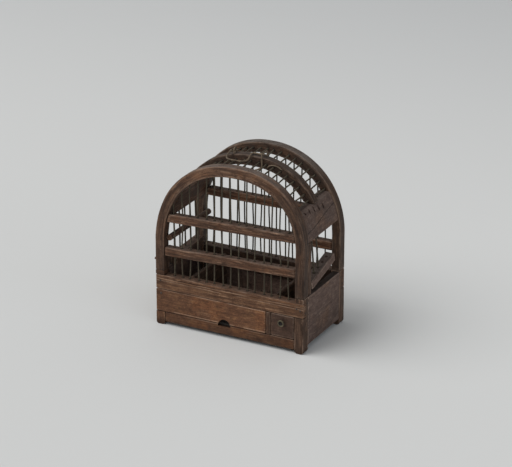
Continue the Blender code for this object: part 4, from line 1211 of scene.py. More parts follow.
@dataclass
class Maker:
    """What each sub-assembly needs to build and dress its pieces."""

    finisher: Finisher
    trees: Trees
    wire_sides: int = 10
    waves_in_metre: float = 55.0
    stain_radius: float = 0.00088
    stain_dome: float = 0.05
    seed: int = 0

    def next_seed(self) -> int:
        """The seed of the next uneven piece."""
        self.seed += 1
        return self.seed

    def boards(self, body: str, boards: Sequence[Board]) -> None:
        """Dress packed boards as hand-worked ones that stand for them.

        Args:
            body: the body that they move with.
            boards: the boards, in order.
        """
        for board in boards:
            node = board.node
            mesh = dressed_mesh(node, self.next_seed())
            material = self.finisher.wood(node, board.finish, board.grain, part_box(node), marks=board.marks)
            link(node + "_worn", mesh, material, body, [node])

    def keep(self, node: str, material: Material) -> None:
        """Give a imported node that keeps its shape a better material.

        Args:
            node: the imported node.
            material: the material.
        """
        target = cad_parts[node].data
        target.materials.clear()
        target.materials.append(material)
        LOG.info("%s keeps its own shape", node)

    def wires(self, name: str, paths: Sequence[Sequence[Point]], finish: MetalFinish, body: str,
              nodes: Sequence[str], slot: str, radius: float = SIZES.wire / 2, waver: float = 0.0005,
              bay: float = 0.0012) -> None:
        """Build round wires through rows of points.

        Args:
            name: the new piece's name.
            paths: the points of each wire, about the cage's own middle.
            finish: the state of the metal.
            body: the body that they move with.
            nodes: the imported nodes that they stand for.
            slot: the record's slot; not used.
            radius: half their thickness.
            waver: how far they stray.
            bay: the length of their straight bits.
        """
        seed = self.next_seed()
        mesh = bpy.data.meshes.new(name + "_points")
        places, edges = [], []
        for path in paths:
            start = len(places)
            places += [Vector(point) + SHIFT for point in path]
            edges += [(start + step, start + step + 1) for step in range(len(path) - 1)]
        mesh.from_pydata(places, edges, [])
        material = self.finisher.metal(name, finish)
        result = apply_tree(name, mesh, self.trees.wires, {
            "Radius": radius, "Sides": self.wire_sides, "Bay": bay, "Waver": waver,
            "Wave Scale": self.waves_in_metre, "Seed": float(seed), "Material": material})
        weld(result)
        smooth(result)
        link(name, result, material, body, nodes)

    def nails(self, name: str, heads: Sequence[Head], body: str, radius: float = 0.00055,
              dome: float = 0.42, material: Material | None = None) -> None:
        """Set round heads.

        Args:
            name: the new piece's name.
            heads: the place of each about the cage's middle, and its facing.
            body: the body that they move with.
            radius: how wide a head is.
            dome: how high it stands, as a share of its radius.
            material: what it is made of, where that isn't nail iron.
        """
        mesh = bpy.data.meshes.new(name + "_points")
        mesh.from_pydata([Vector(place) + SHIFT for place, _ in heads], [], [])
        facing = mesh.attributes.new("facing", "FLOAT_VECTOR", "POINT")
        facing.data.foreach_set("vector", [number for _, way in heads for number in way])
        material = material or self.finisher.metal(name, NAIL_IRON)
        result = apply_tree(name, mesh, self.trees.nails,
                            {"Radius": radius, "Dome": dome, "Material": material})
        result.shade_smooth()
        link(name, result, material, body, (), 0.0)

    def stains(self, name: str, places: Sequence[Head]) -> None:
        """Darken the wood round each drilled wire: partly the black stain that iron leaves in oak and partly
        painted shade in the drilled hole.
        """
        material = self.finisher.wood(name, STAIN_AND_HOLE_SHADE_OAK, Grain.ACROSS)
        self.nails(name, places, "cage", self.stain_radius, self.stain_dome, material)


def wander(index: int, level: int) -> float:
    """The small offset of a wire that was set by hand."""
    return WANDER * math.sin(2.4 * index + 1.7 * level + index * level)


@dataclass(frozen=True)
class BentBoard:
    """A strip bent over the cage's oval.

    Start holds the starting angles of its outer and inner faces; drop is how far its straight ends run below
    the spring.
    """

    node: str
    depth: float
    middle: float
    start: Flat
    drop: float
    finish: WoodFinish
    slot: str
    marks: Marks = Marks()


@dataclass
class Hoops:
    """The two bent hoops, their legs, the rib between them and the shoulder boards."""

    maker: Maker
    bays: int = 128
    unevenness: float = 0.00010
    wave: float = 0.011
    joint: float = 0.00022
    front: Marks = Marks((Fade(Axis.ACROSS, -0.020, 0.022, 1.03, 0.76),
                          Fade(Axis.UP, 0.030, 0.052, 0.82, 0.97),
                          Fade(Axis.UP, 0.078, 0.096, 0.92, 1.44),
                          # Painted shade on the hoop's rims behind its front face, which face away from the
                          # light.
                          Fade(Axis.DEEP, -0.0232, -0.0224, 1.0, 0.86)))
    left_foot: Marks = Marks((Fade(Axis.UP, 0.000, 0.007, 0.35, 0.88),
                              Fade(Axis.UP, 0.026, 0.030, 1.00, 0.55)))
    # Painted light on the inner faces of the rear hoop and the rear right leg, which look into the cage.
    inner_lit: Marks = Marks((Fade(Axis.DEEP, 0.018, 0.026, 1.35, 1.10),))
    split: Marks = Marks(cracks=((0.34, 0.62),))

    @staticmethod
    def flat(along: float, across: float, deep: float) -> Point:
        """A point of the strip before it is bent."""
        return along, across, deep

    def bend(self, board: BentBoard) -> None:
        """Bend one strip over the oval and let it stand for its node.

        Args:
            board: the strip.
        """
        length = math.pi * SIZES.half_width + 2 * board.drop
        lean, fullness, rise = SIZES.shape_at(board.middle)
        name = board.node + "_bent"
        strip = Strip(length, SIZES.leg_width, board.depth, self.bays).mesh(name + "_flat", self.flat)
        material = self.maker.finisher.wood(name, board.finish, Grain.ALONG_STRIP, marks=board.marks)
        mesh = apply_tree(name, strip, self.maker.trees.bent_strip, {
            "Half Width": SIZES.half_width, "Rise": rise, "Spring Height": SIZES.spring,
            "Fullness": fullness, "Lean": lean, "Leg Width": SIZES.leg_width,
            "Crown Width": SIZES.crown_width, "Depth": board.depth, "Middle Depth": board.middle,
            "Outer Start": board.start[0], "Inner Start": board.start[1],
            "Foot Share": board.drop / length, "Foot Drop": board.drop, "Material": material})
        mesh.transform(Matrix.Translation(SHIFT))
        weld(mesh)
        roughen(mesh, self.unevenness, self.maker.next_seed(), self.wave)
        smooth(mesh)
        link(name, mesh, material, "cage", [board.node])

    def build(self) -> None:
        """Build the hoops and what they carry."""
        deep = SIZES.hoop_depth
        middle = SIZES.half_depth - deep / 2
        drop = SIZES.spring - SIZES.foot + self.joint
        bottom = SIZES.shoulder_top + SIZES.gap
        start = (SIZES.angle_at(bottom, 0.0, 0.0), SIZES.angle_at(bottom, SIZES.crown_width, 0.0))
        level = (0.0, 0.0)
        for board in (
                BentBoard("front_hoop", deep, -middle, level, drop, HOOP_OAK, "worn_oak", self.front),
                BentBoard("rear_hoop", deep, middle, level, drop, REAR_OAK, "worn_oak", self.inner_lit),
                BentBoard("middle_rib", SIZES.rib_depth, 0.0, start, 0.0, RIB_OAK, "warm_oak")):
            self.bend(board)
        self.maker.boards("cage", (
            Board("front_left_leg", FOOT_OAK, Grain.UPRIGHT, "worn_oak", self.left_foot),
            Board("front_right_leg", LEG_OAK, Grain.UPRIGHT, "worn_oak"),
            Board("rear_left_leg", RAIL_OAK, Grain.UPRIGHT, "worn_oak"),
            Board("rear_right_leg", LEG_OAK, Grain.UPRIGHT, "worn_oak", self.inner_lit),
            Board("left_shoulder_board", RAIL_OAK, Grain.DEEP, "worn_oak"),
            Board("right_shoulder_board", GREY_OAK, Grain.DEEP, "worn_oak", self.split)))
        peg = self.maker.finisher.wood("leg_peg", INNER_OAK, Grain.ACROSS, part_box("leg_peg"))
        self.maker.keep("leg_peg", peg)


@dataclass(frozen=True)
class Wall:
    """One wall of wires: the side that it faces and the heights of its rails, which climb to the right."""

    label: str
    facing: int
    base_top: float
    middle_bottom: float
    upper_bottom: float
    climb: float
    first_wire: int
    marks: Marks = Marks()

    def rail_height(self, bottom: float, x: float) -> float:
        """Height of a rail's lower edge at one place across."""
        return bottom + self.climb * (x + SIZES.half_width) / SIZES.width


@dataclass
class WireWalls:
    """The rails and wires of the front and rear walls."""

    maker: Maker
    front: Wall = Wall("front", -1, 0.0293, 0.0408, 0.0606, 0.0024, 0)
    # The rear rails carry painted light on their inner faces, which look into the cage.
    rear: Wall = Wall("rear", 1, 0.0319, 0.0425, 0.0614, 0.0004, SIZES.wall_wires,
                      Marks((Fade(Axis.DEEP, 0.0185, 0.0245, 1.50, 1.0),)))
    seat: float = 0.0027
    hoop_seat: float = 0.0010
    wire_radius: float = 0.00040
    rail_bays: int = 48
    unevenness: float = 0.00012
    wave: float = 0.009

    def rail(self, name: str, node: str, wall: Wall, bottom: float, height: float) -> None:
        """Build one rail between the legs or inside the hoop.

        Args:
            name: the new piece's name.
            node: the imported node.
            wall: the wall that it belongs to.
            bottom: height of its lower edge at the cage's left side.
            height: how high the rail itself is.
        """

        def place(along: float, across: float, deep: float) -> Point:
            """Find a point of the rail.

            Args:
                along: share of the rail's length.
                across: share of its height.
                deep: share of its depth.

            Returns:
                The point.
            """
            side_low = wall.rail_height(bottom, -SIZES.leg_inner) + height * across
            side_high = wall.rail_height(bottom, SIZES.leg_inner) + height * across
            left = SIZES.side_at(side_low, -1, wall.facing * SIZES.half_depth) + SIZES.gap
            right = SIZES.side_at(side_high, 1, wall.facing * SIZES.half_depth) - SIZES.gap
            y = wall.facing * SIZES.wire_plane + (deep - 0.5) * SIZES.rail_depth
            return (left + (right - left) * along + SHIFT.x, y + SHIFT.y,
                    side_low + (side_high - side_low) * along)

        mesh = Strip(2 * SIZES.leg_inner, height, SIZES.rail_depth, self.rail_bays).mesh(name, place)
        roughen(mesh, self.unevenness, self.maker.next_seed(), self.wave)
        material = self.maker.finisher.wood(name, RAIL_OAK, Grain.ALONG_STRIP, marks=wall.marks)
        link(name, mesh, material, "cage", [node])

    def wire_path(self, wall: Wall, index: int) -> list[Point]:
        """Find one wire's way from its seat in the base through both rails into the hoop.

        Args:
            wall: the wall.
            index: which wire, from the left.

        Returns:
            Its four points.
        """
        pitch = 2 * (SIZES.leg_inner - SIZES.wall_margin) / (SIZES.wall_wires - 1)
        middle = (index - (SIZES.wall_wires - 1) / 2) * pitch
        x = [middle + wander(index + wall.first_wire, level) for level in range(4)]
        over = SIZES.height_over(x[3], SIZES.leg_width, SIZES.crown_width, wall.facing * SIZES.half_depth)
        heights = (wall.base_top - self.seat,
                   wall.rail_height(wall.middle_bottom, x[1]) + SIZES.middle_rail / 2,
                   wall.rail_height(wall.upper_bottom, x[2]) + SIZES.upper_rail / 2,
                   over + self.hoop_seat)
        return [(across, wall.facing * SIZES.wire_plane, height) for across, height in zip(x, heights)]

    def stain_places(self, wall: Wall, paths: Sequence[Sequence[Point]]) -> list[Head]:
        """Find where a wall's oak is darkened round its wires, by iron stain and painted shade in the holes.

        Args:
            wall: the wall.
            paths: the ways of its wires.

        Returns:
            The place and facing of each stain.
        """
        places: list[Head] = []
        for seat, middle, upper, _ in paths:
            places.append(((seat[0], seat[1], wall.base_top), (0, 0, 1)))
            for knot, height in ((middle, SIZES.middle_rail), (upper, SIZES.upper_rail)):
                for way in (-1, 1):
                    places.append(((knot[0], knot[1], knot[2] + way * height / 2), (0, 0, way)))
        return places

    def build(self) -> None:
        """Build both walls."""
        for wall in (self.front, self.rear):
            label = wall.label
            self.rail(f"{label}_middle_rail", f"{label}_grille", wall, wall.middle_bottom, SIZES.middle_rail)
            self.rail(f"{label}_upper_rail_worn", f"{label}_upper_rail", wall, wall.upper_bottom,
                      SIZES.upper_rail)
            paths = [self.wire_path(wall, index) for index in range(SIZES.wall_wires)]
            self.maker.wires(f"{label}_wall_wires", paths, IRON_WIRE, "cage", [f"{label}_grille"],
                             "iron_wire", self.wire_radius)
            self.maker.stains(f"{label}_wall_hole_marks", self.stain_places(wall, paths))


@dataclass
class RoofWires:
    """The wires that cross the roof from hoop to hoop through the rib."""

    maker: Maker
    start: float = 0.0013
    seat: float = 0.0011
    radius: float = 0.00043
    steps: int = 400

    def angles(self) -> list[float]:
        """Space the wires evenly along the rib.

        Returns:
            The angle of each wire, from the right shoulder to the crown.
        """
        side, crown = SIZES.leg_width / 2, SIZES.crown_width / 2
        first = SIZES.angle_at(SIZES.shoulder_top + self.start, crown, 0.0)
        angles = [first + (math.pi / 2 - first) * step / self.steps for step in range(self.steps + 1)]
        points = [Vector(SIZES.oval(angle, side, crown, 0.0)) for angle in angles]
        lengths = [0.0]
        for before, after in zip(points, points[1:]):
            lengths.append(lengths[-1] + (after - before).length)
        found = []
        for number in range(SIZES.roof_wires_per_side + 1):
            target = lengths[-1] * number / SIZES.roof_wires_per_side
            found.append(next(angle for angle, length in zip(angles, lengths) if length >= target - TINY))
        return found

    def crossing(self, index: int, station: int) -> Flat:
        """Find where a wire crosses a hoop or the rib.

        Args:
            index: which wire, from the right.
            station: the front hoop (-1), the rib (0) or the rear hoop (1).

        Returns:
            The place across and the height.
        """
        per_side = SIZES.roof_wires_per_side
        angle = self.angles()[min(index, 2 * per_side - index)]
        if index > per_side:
            angle = math.pi - angle
        angle += wander(index, station + 1) / SIZES.rise
        return SIZES.oval(angle, SIZES.leg_width / 2, SIZES.crown_width / 2, station * SIZES.hoop_inner)

    def path(self, index: int) -> list[Point]:
        """Find one wire's way from the front hoop through the rib to the rear hoop.

        Args:
            index: which wire, from the right.

        Returns:
            Its three points.
        """
        end = SIZES.hoop_inner + self.seat
        points = [self.crossing(index, station) for station in (-1, 0, 1)]
        return [(x, depth, z) for (x, z), depth in zip(points, (-end, 0.0, end))]

    def between(self, bays: int) -> float:
        """Find the middle of a bay on the rib.

        Args:
            bays: how many bays to the left of the crown wire; a bay to its right is negative.

        Returns:
            Its place across.
        """
        first = SIZES.roof_wires_per_side + bays
        second = first + (1 if bays > 0 else -1)
        return (self.crossing(first, 0)[0] + self.crossing(second, 0)[0]) / 2

    def build(self) -> None:
        """Build all the roof's wires as one piece, and the dark marks round their holes: iron stain and
        painted shade.
        """
        count = 2 * SIZES.roof_wires_per_side + 1
        nodes = [f"roof_wire_{index + 1:02d}" for index in range(count)]
        paths = [self.path(index) for index in range(count)]
        self.maker.wires("roof_wires", paths, IRON_WIRE, "cage", nodes, "iron_wire", self.radius)
        places: list[Head] = []
        for front, rib, rear in paths:
            for end in (front, rear):
                way = 1 if end[1] > 0 else -1
                for depth, facing in ((SIZES.hoop_inner, -way), (SIZES.rib_depth / 2, way)):
                    share = depth / abs(end[1])
                    across, height = (rib[axis] + (end[axis] - rib[axis]) * share for axis in (0, 2))
                    places.append(((across, way * depth, height), (0, facing, 0)))
        self.maker.stains("roof_hole_marks", places)


@dataclass
class Base:
    """The boxed base: rails, panels, divider, stiles and what lies inside."""

    maker: Maker
    # The rail's pale lines along its scribed lips are partly rubbed wear and partly a painted highlight.
    rail: Marks = Marks((Fade(Axis.ACROSS, 0.020, 0.045, 0.95, 0.78),
                         Fade(Axis.ACROSS, -0.045, -0.020, 0.90, 1.0),
                         Fade(Axis.UP, 0.0288, 0.0292, 1.0, 0.72)), (0.02740, 0.02610, 0.02135))
    # The panel's pale line along its seam is partly rubbed wear and partly a painted highlight.
    panel: Marks = Marks((Fade(Axis.ACROSS, -0.045, -0.010, 0.90, 1.05),), (0.0086,))
    # Painted shade on the rear base rail's inner face, deep inside the cage.
    inner_dark: Marks = Marks((Fade(Axis.DEEP, 0.0208, 0.0222, 0.35, 1.0),))
    # Painted light on the rear panel's inner face.
    inner_pale: Marks = Marks((Fade(Axis.DEEP, 0.0228, 0.0245, 1.90, 1.0),))
    side_rise: Fade = Fade(Axis.UP, 0.006, 0.026, 0.92, 1.22)

    def build(self) -> None:
        """Dress each board of the base."""
        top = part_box("right_side_panel")[1].z
        # Painted shadow on the side panel's top face, under the door bar.
        side = Marks((Fade(Axis.UP, top - 0.0004, top - 0.0001, 1.0, 0.22), self.side_rise))
        self.maker.boards("cage", (
            Board("front_base_rail", WARM_OAK, Grain.ACROSS, "warm_oak", self.rail),
            Board("front_panel", PANEL_OAK, Grain.ACROSS, "warm_oak", self.panel),
            Board("rear_base_rail", RAIL_OAK, Grain.ACROSS, "warm_oak", self.inner_dark),
            Board("drawer_divider", LEG_OAK, Grain.UPRIGHT, "warm_oak"),
            Board("rear_panel", GREY_OAK, Grain.ACROSS, "worn_oak", self.inner_pale),
            Board("left_side_panel", GREY_OAK, Grain.DEEP, "worn_oak"),
            Board("right_side_panel", SIDE_OAK, Grain.DEEP, "worn_oak", side),
            Board("left_door_stile", LEG_OAK, Grain.UPRIGHT, "worn_oak"),
            Board("right_door_stile", LEG_OAK, Grain.UPRIGHT, "worn_oak"),
            Board("left_partition", INNER_OAK, Grain.DEEP, "dark_oak"),
            Board("right_partition", INNER_OAK, Grain.DEEP, "dark_oak"),
            Board("drawer_shelf", INNER_OAK, Grain.DEEP, "dark_oak"),
            Board("left_tray_runner", INNER_OAK, Grain.DEEP, "dark_oak"),
            Board("right_tray_runner", INNER_OAK, Grain.DEEP, "dark_oak"),
            Board("perch", RAIL_OAK, Grain.DEEP, "worn_oak")))


@dataclass
class Nails:
    """The small nails that hold the base's laps and panels."""

    maker: Maker
    laps: tuple[Flat, ...] = ((0.0410, 0.0261), (0.0431, 0.0254), (-0.0421, 0.0262), (-0.0418, 0.0186))
    sides: tuple[Flat, ...] = ((-0.0200, 0.0283), (0.0203, 0.0281), (-0.0228, 0.0236), (0.0226, 0.0238))

    def build(self) -> None:
        """Set every nail head."""
        heads: list[Head] = []
        for x, z in self.laps:
            for facing in (-1, 1):
                heads.append(((x, facing * SIZES.half_depth, z), (0, facing, 0)))
        for y, z in self.sides:
            for facing in (-1, 1):
                heads.append(((facing * SIZES.half_width, y, z), (facing, 0, 0)))
        self.maker.nails("base_nails", heads, "cage")


@dataclass(frozen=True)
class DoorHang:
    """How one sliding door hangs: the tilt of its wires and the skew of its bar on them."""

    side: int
    tilt: float
    skew: float
    front_gap: float
    stile: float = 0.0033
    rear_gap: float = 0.0022
    holes: int = 5
    margin: float = 0.0038
    shift: float = -0.0009
    width: float = 0.0055
    height: float = 0.0048
    inset: float = 0.0018

    @property
    def ends(self) -> Flat:
        """Depth of the bar's front and rear ends."""
        front = self.stile - (SIZES.hoop_inner - SIZES.gap) + self.front_gap
        return front, SIZES.hoop_inner - self.rear_gap

    @property
    def length(self) -> float:
        """Length of the bar."""
        return self.ends[1] - self.ends[0]

    @property
    def slope(self) -> float:
        """Tilt of the bar itself."""
        return self.tilt + self.skew

    @property
    def middle(self) -> Vector:
        """Find the middle of the bar.

        Returns:
            The point, about the cage's own middle.
        """
        x = self.side * (SIZES.half_width - self.inset - self.width / 2)
        half = (self.length * math.sin(self.slope) + self.height * math.cos(self.slope)) / 2
        return Vector((x, sum(self.ends) / 2, SIZES.foot + half))

    def along(self, index: int) -> float:
        """Where a wire stands along the bar, measured from its middle."""
        pitch = (self.length - 2 * self.margin) / (self.holes - 1)
        return self.shift + (index - (self.holes - 1) / 2) * pitch


@dataclass
class SlidingDoors:
    """The door at each side: a drilled wooden bar and its wires."""

    maker: Maker
    left: DoorHang = DoorHang(-1, math.radians(2), 0.0, 0.0010)
    right: DoorHang = DoorHang(1, math.radians(10), math.radians(4), 0.0042)
    seat: float = 0.0023
    wire_top: float = 0.0690
    bow: float = 0.0003
    waver: float = 0.0003
    left_seed: int = 71
    right_seed: int = 73
    bar_bays: int = 20
    unevenness: float = 0.00010
    wave: float = 0.008

    def path(self, door: DoorHang, index: int) -> list[Point]:
        """Find one door wire's way.

        Args:
            door: the door.
            index: which of its holes, from the front.

        Returns:
            Its foot in the bar, a bowed middle and its top in the shoulder board.
        """
        along = door.along(index)
        foot = door.height / 2 / math.cos(door.skew) + along * math.tan(door.skew) - self.seat
        top = (self.wire_top - door.middle.z) / math.cos(door.tilt)
        turn = Matrix.Rotation(door.tilt, 3, "X")
        rows = ((foot, 0.0), ((foot + top) / 2, self.bow), (top, 0.0))
        return [tuple(door.middle + turn @ Vector((0, along + bow, up))) for up, bow in rows]

    def left_bar(self) -> None:
        """Build the left bar, whose solid also holds its wires."""
        door = self.left
        turn = Matrix.Rotation(door.slope, 3, "X")

        def place(along: float, across: float, deep: float) -> Point:
            """Find a point of the tilted bar.

            Args:
                along: share of the bar's length.
                across: share of its height.
                deep: share of its width.

            Returns:
                The point.
            """
            offset = Vector(((deep - 0.5) * door.width, (along - 0.5) * door.length,
                             (across - 0.5) * door.height))
            return tuple(door.middle + SHIFT + turn @ offset)

        name = "left_door_bar"
        mesh = Strip(door.length, door.height, door.width, self.bar_bays).mesh(name, place)
        roughen(mesh, self.unevenness, self.left_seed, self.wave)
        material = self.maker.finisher.wood(name, INNER_OAK, Grain.ALONG_STRIP)
        link(name, mesh, material, "left_door", ["left_door"])

    def right_bar(self) -> None:
        """Dress the right bar along its own slope, with pale edges, painted light on its outer face and
        painted shade on its top.
        """
        door = self.right
        half = Vector((door.width, door.length, door.height)) / 2
        centre = Matrix.Rotation(-door.slope, 3, "X") @ (door.middle + SHIFT)
        low, high = centre - half, centre + half
        # Painted light on the bar's outer face and painted shade on its top face.
        marks = Marks((Fade(Axis.ACROSS, high.x - 0.0007, high.x - 0.0002, 1.0, 1.35),
                       Fade(Axis.UP, high.z - 0.0005, high.z - 0.0001, 1.0, 0.55)))
        name = "right_door_bar"
        material = self.maker.finisher.wood(name, GREY_OAK, Grain.DEEP, (low, high), door.slope, marks)
        mesh = dressed_mesh(name, self.right_seed)
        link(name + "_worn", mesh, material, "right_door", [name])

    def build(self) -> None:
        """Build both doors; the right one has kept only two of its wires."""
        self.left_bar()
        paths = [self.path(self.left, index) for index in range(self.left.holes)]
        self.maker.wires("left_door_wires", paths, IRON_WIRE, "left_door", ["left_door"], "iron_wire",
                         waver=self.waver)
        self.right_bar()
        paths = [self.path(self.right, index) for index in (1, 2)]
        self.maker.wires("right_door_wires", paths, IRON_WIRE, "right_door",
                         ["right_door_wire_1", "right_door_wire_2"], "iron_wire", waver=self.waver)


@dataclass
class LitterTray:
    """The sliding tray: a wooden front with half a finger notch, and its folded pan."""

    maker: Maker
    front: Marks = Marks((Fade(Axis.ACROSS, -0.030, 0.030, 0.78, 0.62),
                          # Painted shade on the tray front's top, back and notch, behind its front face.
                          Fade(Axis.DEEP, -0.0236, -0.0230, 1.0, 0.15)))

    def build(self) -> None:
        """Dress the tray's front and its pan."""
        self.maker.boards("litter_tray", (
            Board("tray_front", TRAY_OAK, Grain.ACROSS, "warm_oak", self.front),))
        self.maker.keep("tray_pan", self.maker.finisher.metal("tray_pan", DULL_TIN))


@dataclass
class SeedDrawer:
    """The seed drawer with its turned knob.

    The knob's profile runs from the middle of its dished face round the rim to its neck. Each point is a
    share of the rim's radius and a share of the knob's reach.
    """

    maker: Maker
    knob_steps: int = 48
    dish_rings: int = 4
    rim_radius: float = 0.00190
    profile: tuple[Flat, ...] = (
        (0.0, 0.62), (0.30, 0.60), (0.52, 0.66), (0.60, 0.80), (0.68, 0.95), (0.80, 1.0), (0.92, 0.95),
        (1.0, 0.80), (0.98, 0.62), (0.86, 0.50), (0.62, 0.42), (0.50, 0.28), (0.48, 0.08), (0.52, 0.0))
    # The drawer front's pale line is partly rubbed wear and partly a painted highlight.
    front: Marks = Marks(rubs=(0.0084,))

    def knob_rings(self, shape: bmesh.types.BMesh) -> list[list[bmesh.types.BMVert]]:
        """Set the knob's points about the middle of its neck.

        Args:
            shape: where the points go.

        Returns:
            The points of each ring, from the face to the neck.
        """
        low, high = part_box("drawer_knob")
        centre = Vector(((low.x + high.x) / 2, high.y, (low.z + high.z) / 2))
        reach = high.y - low.y
        layer = shape.verts.layers.float.new("dish")
        rings = []
        for number, (share, along) in enumerate(self.profile):
            ring = []
            for step in range(self.knob_steps if share else 1):
                angle = 2 * math.pi * step / self.knob_steps
                offset = Vector((math.cos(angle), 0, math.sin(angle))) * self.rim_radius * share
                vertex = shape.verts.new(centre + offset + Vector((0, -reach * along, 0)))
                vertex[layer] = 1.0 if number < self.dish_rings else 0.0
                ring.append(vertex)
            rings.append(ring)
        return rings

    def knob(self) -> None:
        """Turn the knob: a ringed rim round a dished face, on a short neck."""
        shape = bmesh.new()
        rings = self.knob_rings(shape)
        for first, second in zip(rings, rings[1:]):
            for step in range(self.knob_steps):
                after = (step + 1) % self.knob_steps
                corners = (first[step % len(first)], second[step], second[after], first[after % len(first)])
                shape.faces.new(list(dict.fromkeys(corners)))
        shape.faces.new(rings[-1])
        bmesh.ops.recalc_face_normals(shape, faces=shape.faces)
        mesh = bpy.data.meshes.new("turned_knob")
        shape.to_mesh(mesh)
        shape.free()
        smooth(mesh, KNOB_CORNER)
        material = self.maker.finisher.metal("turned_knob", OLD_BRASS, dished=True)
        link("turned_knob", mesh, material, "seed_drawer", ["drawer_knob"])

    def build(self) -> None:
        """Dress the drawer's front and box and turn its knob."""
        self.maker.boards("seed_drawer", (
            Board("drawer_front", DRAWER_OAK, Grain.ACROSS, "warm_oak", self.front),
            Board("drawer_box", INNER_OAK, Grain.DEEP, "dark_oak")))
        self.knob()


@dataclass
class BailWork:
    """The folding bail with its staple and its hooked clip, and a tie on the rib."""

    maker: Maker
    roof: RoofWires
    wire: float = 0.0009
    reach: float = 0.0096
    drop: float = 0.0022
    flare: float = 0.0002
    span: float = 0.0124
    offset: float = 0.0014
    overhang: float = 0.0014
    corner: float = 0.0024
    bend: float = 0.0038
    staple_half: float = 0.0013
    staple_seat: float = 0.0018
    clip_drop: float = 0.0046
    hook: Flat = (0.0038, 0.0026)
    tie: tuple[Flat, ...] = ((0.0117, 0.0932), (0.0119, 0.0937), (0.0132, 0.0949), (0.0153, 0.0955),
                             (0.0180, 0.0952), (0.0202, 0.0941), (0.0207, 0.0935))
    tie_thickness: float = 0.8
    tie_stand: float = 0.9
    waver: float = 0.0001
    bail_bay: float = 0.0004
    small_bay: float = 0.0003

    @property
    def axis(self) -> float:
        """Height of the bail's turning axis."""
        return SIZES.height - SIZES.rear_drop / 2 + SIZES.gap + self.wire / 2

    @property
    def radius(self) -> float:
        """Half the wire's thickness."""
        return self.wire / 2

    @staticmethod
    def arc(centre: Flat, radius: float, start: float, end: float, steps: int = 8) -> list[Flat]:
        """Find the points of an arc.

        Args:
            centre: its centre.
            radius: its radius.
            start: where it starts, in degrees.
            end: where it ends, in degrees.
            steps: how many parts it has.

        Returns:
            The points.
        """
        turns = [math.radians(start + (end - start) * step / steps) for step in range(steps + 1)]
        return [(centre[0] + radius * math.cos(turn), centre[1] + radius * math.sin(turn)) for turn in turns]

    def bail_path(self) -> list[Point]:
        """Lay the bail forward over the roof.

        Returns:
            The points of its wire.
        """
        edge = SIZES.rib_depth / 2 + self.radius
        staple, clip = self.roof.between(2), self.roof.between(-1)
        left = staple - self.offset
        right = left + self.span
        far_left, far_right = left - self.flare, right + self.flare
        leg_end = self.reach - self.bend
        nick = self.corner / 4
        flat = [(staple + self.overhang, 0.0), (left + nick, 0.0), (left, nick), (left, edge)]
        flat += self.arc((far_left + self.bend, leg_end), self.bend, 180, 90)
        flat += self.arc((far_right - self.bend, leg_end), self.bend, 90, 0)
        flat += [(right, edge), (right, nick), (right + nick, 0.0), (clip + self.overhang, 0.0)]
        points = []
        for x, out in flat:
            beyond = max(out - edge, 0.0) / (self.reach - edge)
            points.append((x, -out, self.axis - self.drop * math.sin(beyond * math.pi / 2)))
        return points

    def staple_path(self) -> list[Point]:
        """Set the staple over the bail's left end, with both legs in the rib.

        Returns:
            The points of its wire.
        """
        place = self.roof.between(2)
        floor = SIZES.height_over(place, 0.0, 0.0, 0.0) - self.staple_seat
        arch = [(place, y, z) for y, z in self.arc((0.0, self.axis), self.staple_half, 180, 0)]
        return [(place, -self.staple_half, floor), *arch, (place, self.staple_half, floor)]

    def clip_path(self) -> list[Point]:
        """Bend the clip over the rib, from its rear leg to the hook in front.

        Returns:
            The points of its wire.
        """
        half = SIZES.rib_depth / 2 + SIZES.gap + self.radius
        top = self.axis + self.wire + SIZES.gap
        place = self.roof.between(-1)
        low = SIZES.height_over(place, 0.0, 0.0, 0.0) - self.clip_drop
        corner = self.wire
        flat = [(half, low), (half, (low + top) / 2)]
        flat += self.arc((half - corner, top - corner), corner, 0, 90, 4)
        flat += self.arc((corner - half, top - corner), corner, 90, 180, 4)
        flat += [(-half, (low + top) / 2), (-half, low)]
        run, fall = self.hook
        ends = [(place - run / 2, -half, low - fall * 2 / 3), (place - run, -half, low - fall)]
        return [(place, y, z) for y, z in flat] + ends

    def tie_path(self) -> list[Point]:
        """Bend the tie on the rib's front, with both ends pressed into it.

        Returns:
            The points of its wire.
        """
        face = -SIZES.rib_depth / 2 - self.radius * self.tie_stand
        sunk = (0, len(self.tie) - 1)
        return [(x, face + (self.wire if number in sunk else 0.0), z)
                for number, (x, z) in enumerate(self.tie)]

    def build(self) -> None:
        """Bend the bail, the staple, the clip and the tie."""
        thin = self.radius * self.tie_thickness
        rows = (("bent_bail", self.bail_path(), "bail", ["hanging_bail"], "bright_wire", self.radius),
                ("bent_staple", self.staple_path(), "cage", ["bail_staple"], "iron_wire", self.radius),
                ("bent_clip", self.clip_path(), "cage", ["bail_clip"], "bright_wire", self.radius),
                ("bent_tie", self.tie_path(), "cage", [], "iron_wire", thin))
        for name, path, body, nodes, slot, radius in rows:
            bay = self.bail_bay if body == "bail" else self.small_bay
            self.maker.wires(name, [path], DULL_WIRE, body, nodes, slot, radius, self.waver, bay)


@dataclass(frozen=True)
class Lamp:
    """One broad soft lamp: where its light comes from, its strength, its width as an angle and its colour."""

    name: str
    origin: Point
    energy: float
    width: float
    tint: Colour = (1.0, 1.0, 1.0)

    def build(self) -> None:
        """Hang the lamp."""
        data = bpy.data.lights.new(self.name, "SUN")
        data.color = self.tint
        data.energy = self.energy
        data.angle = self.width
        lamp = bpy.data.objects.new(self.name, data)
        lamp.location = self.origin
        lamp.rotation_mode = "QUATERNION"
        lamp.rotation_quaternion = (-Vector(self.origin)).to_track_quat("-Z", "Y")
        bpy.context.scene.collection.objects.link(lamp)


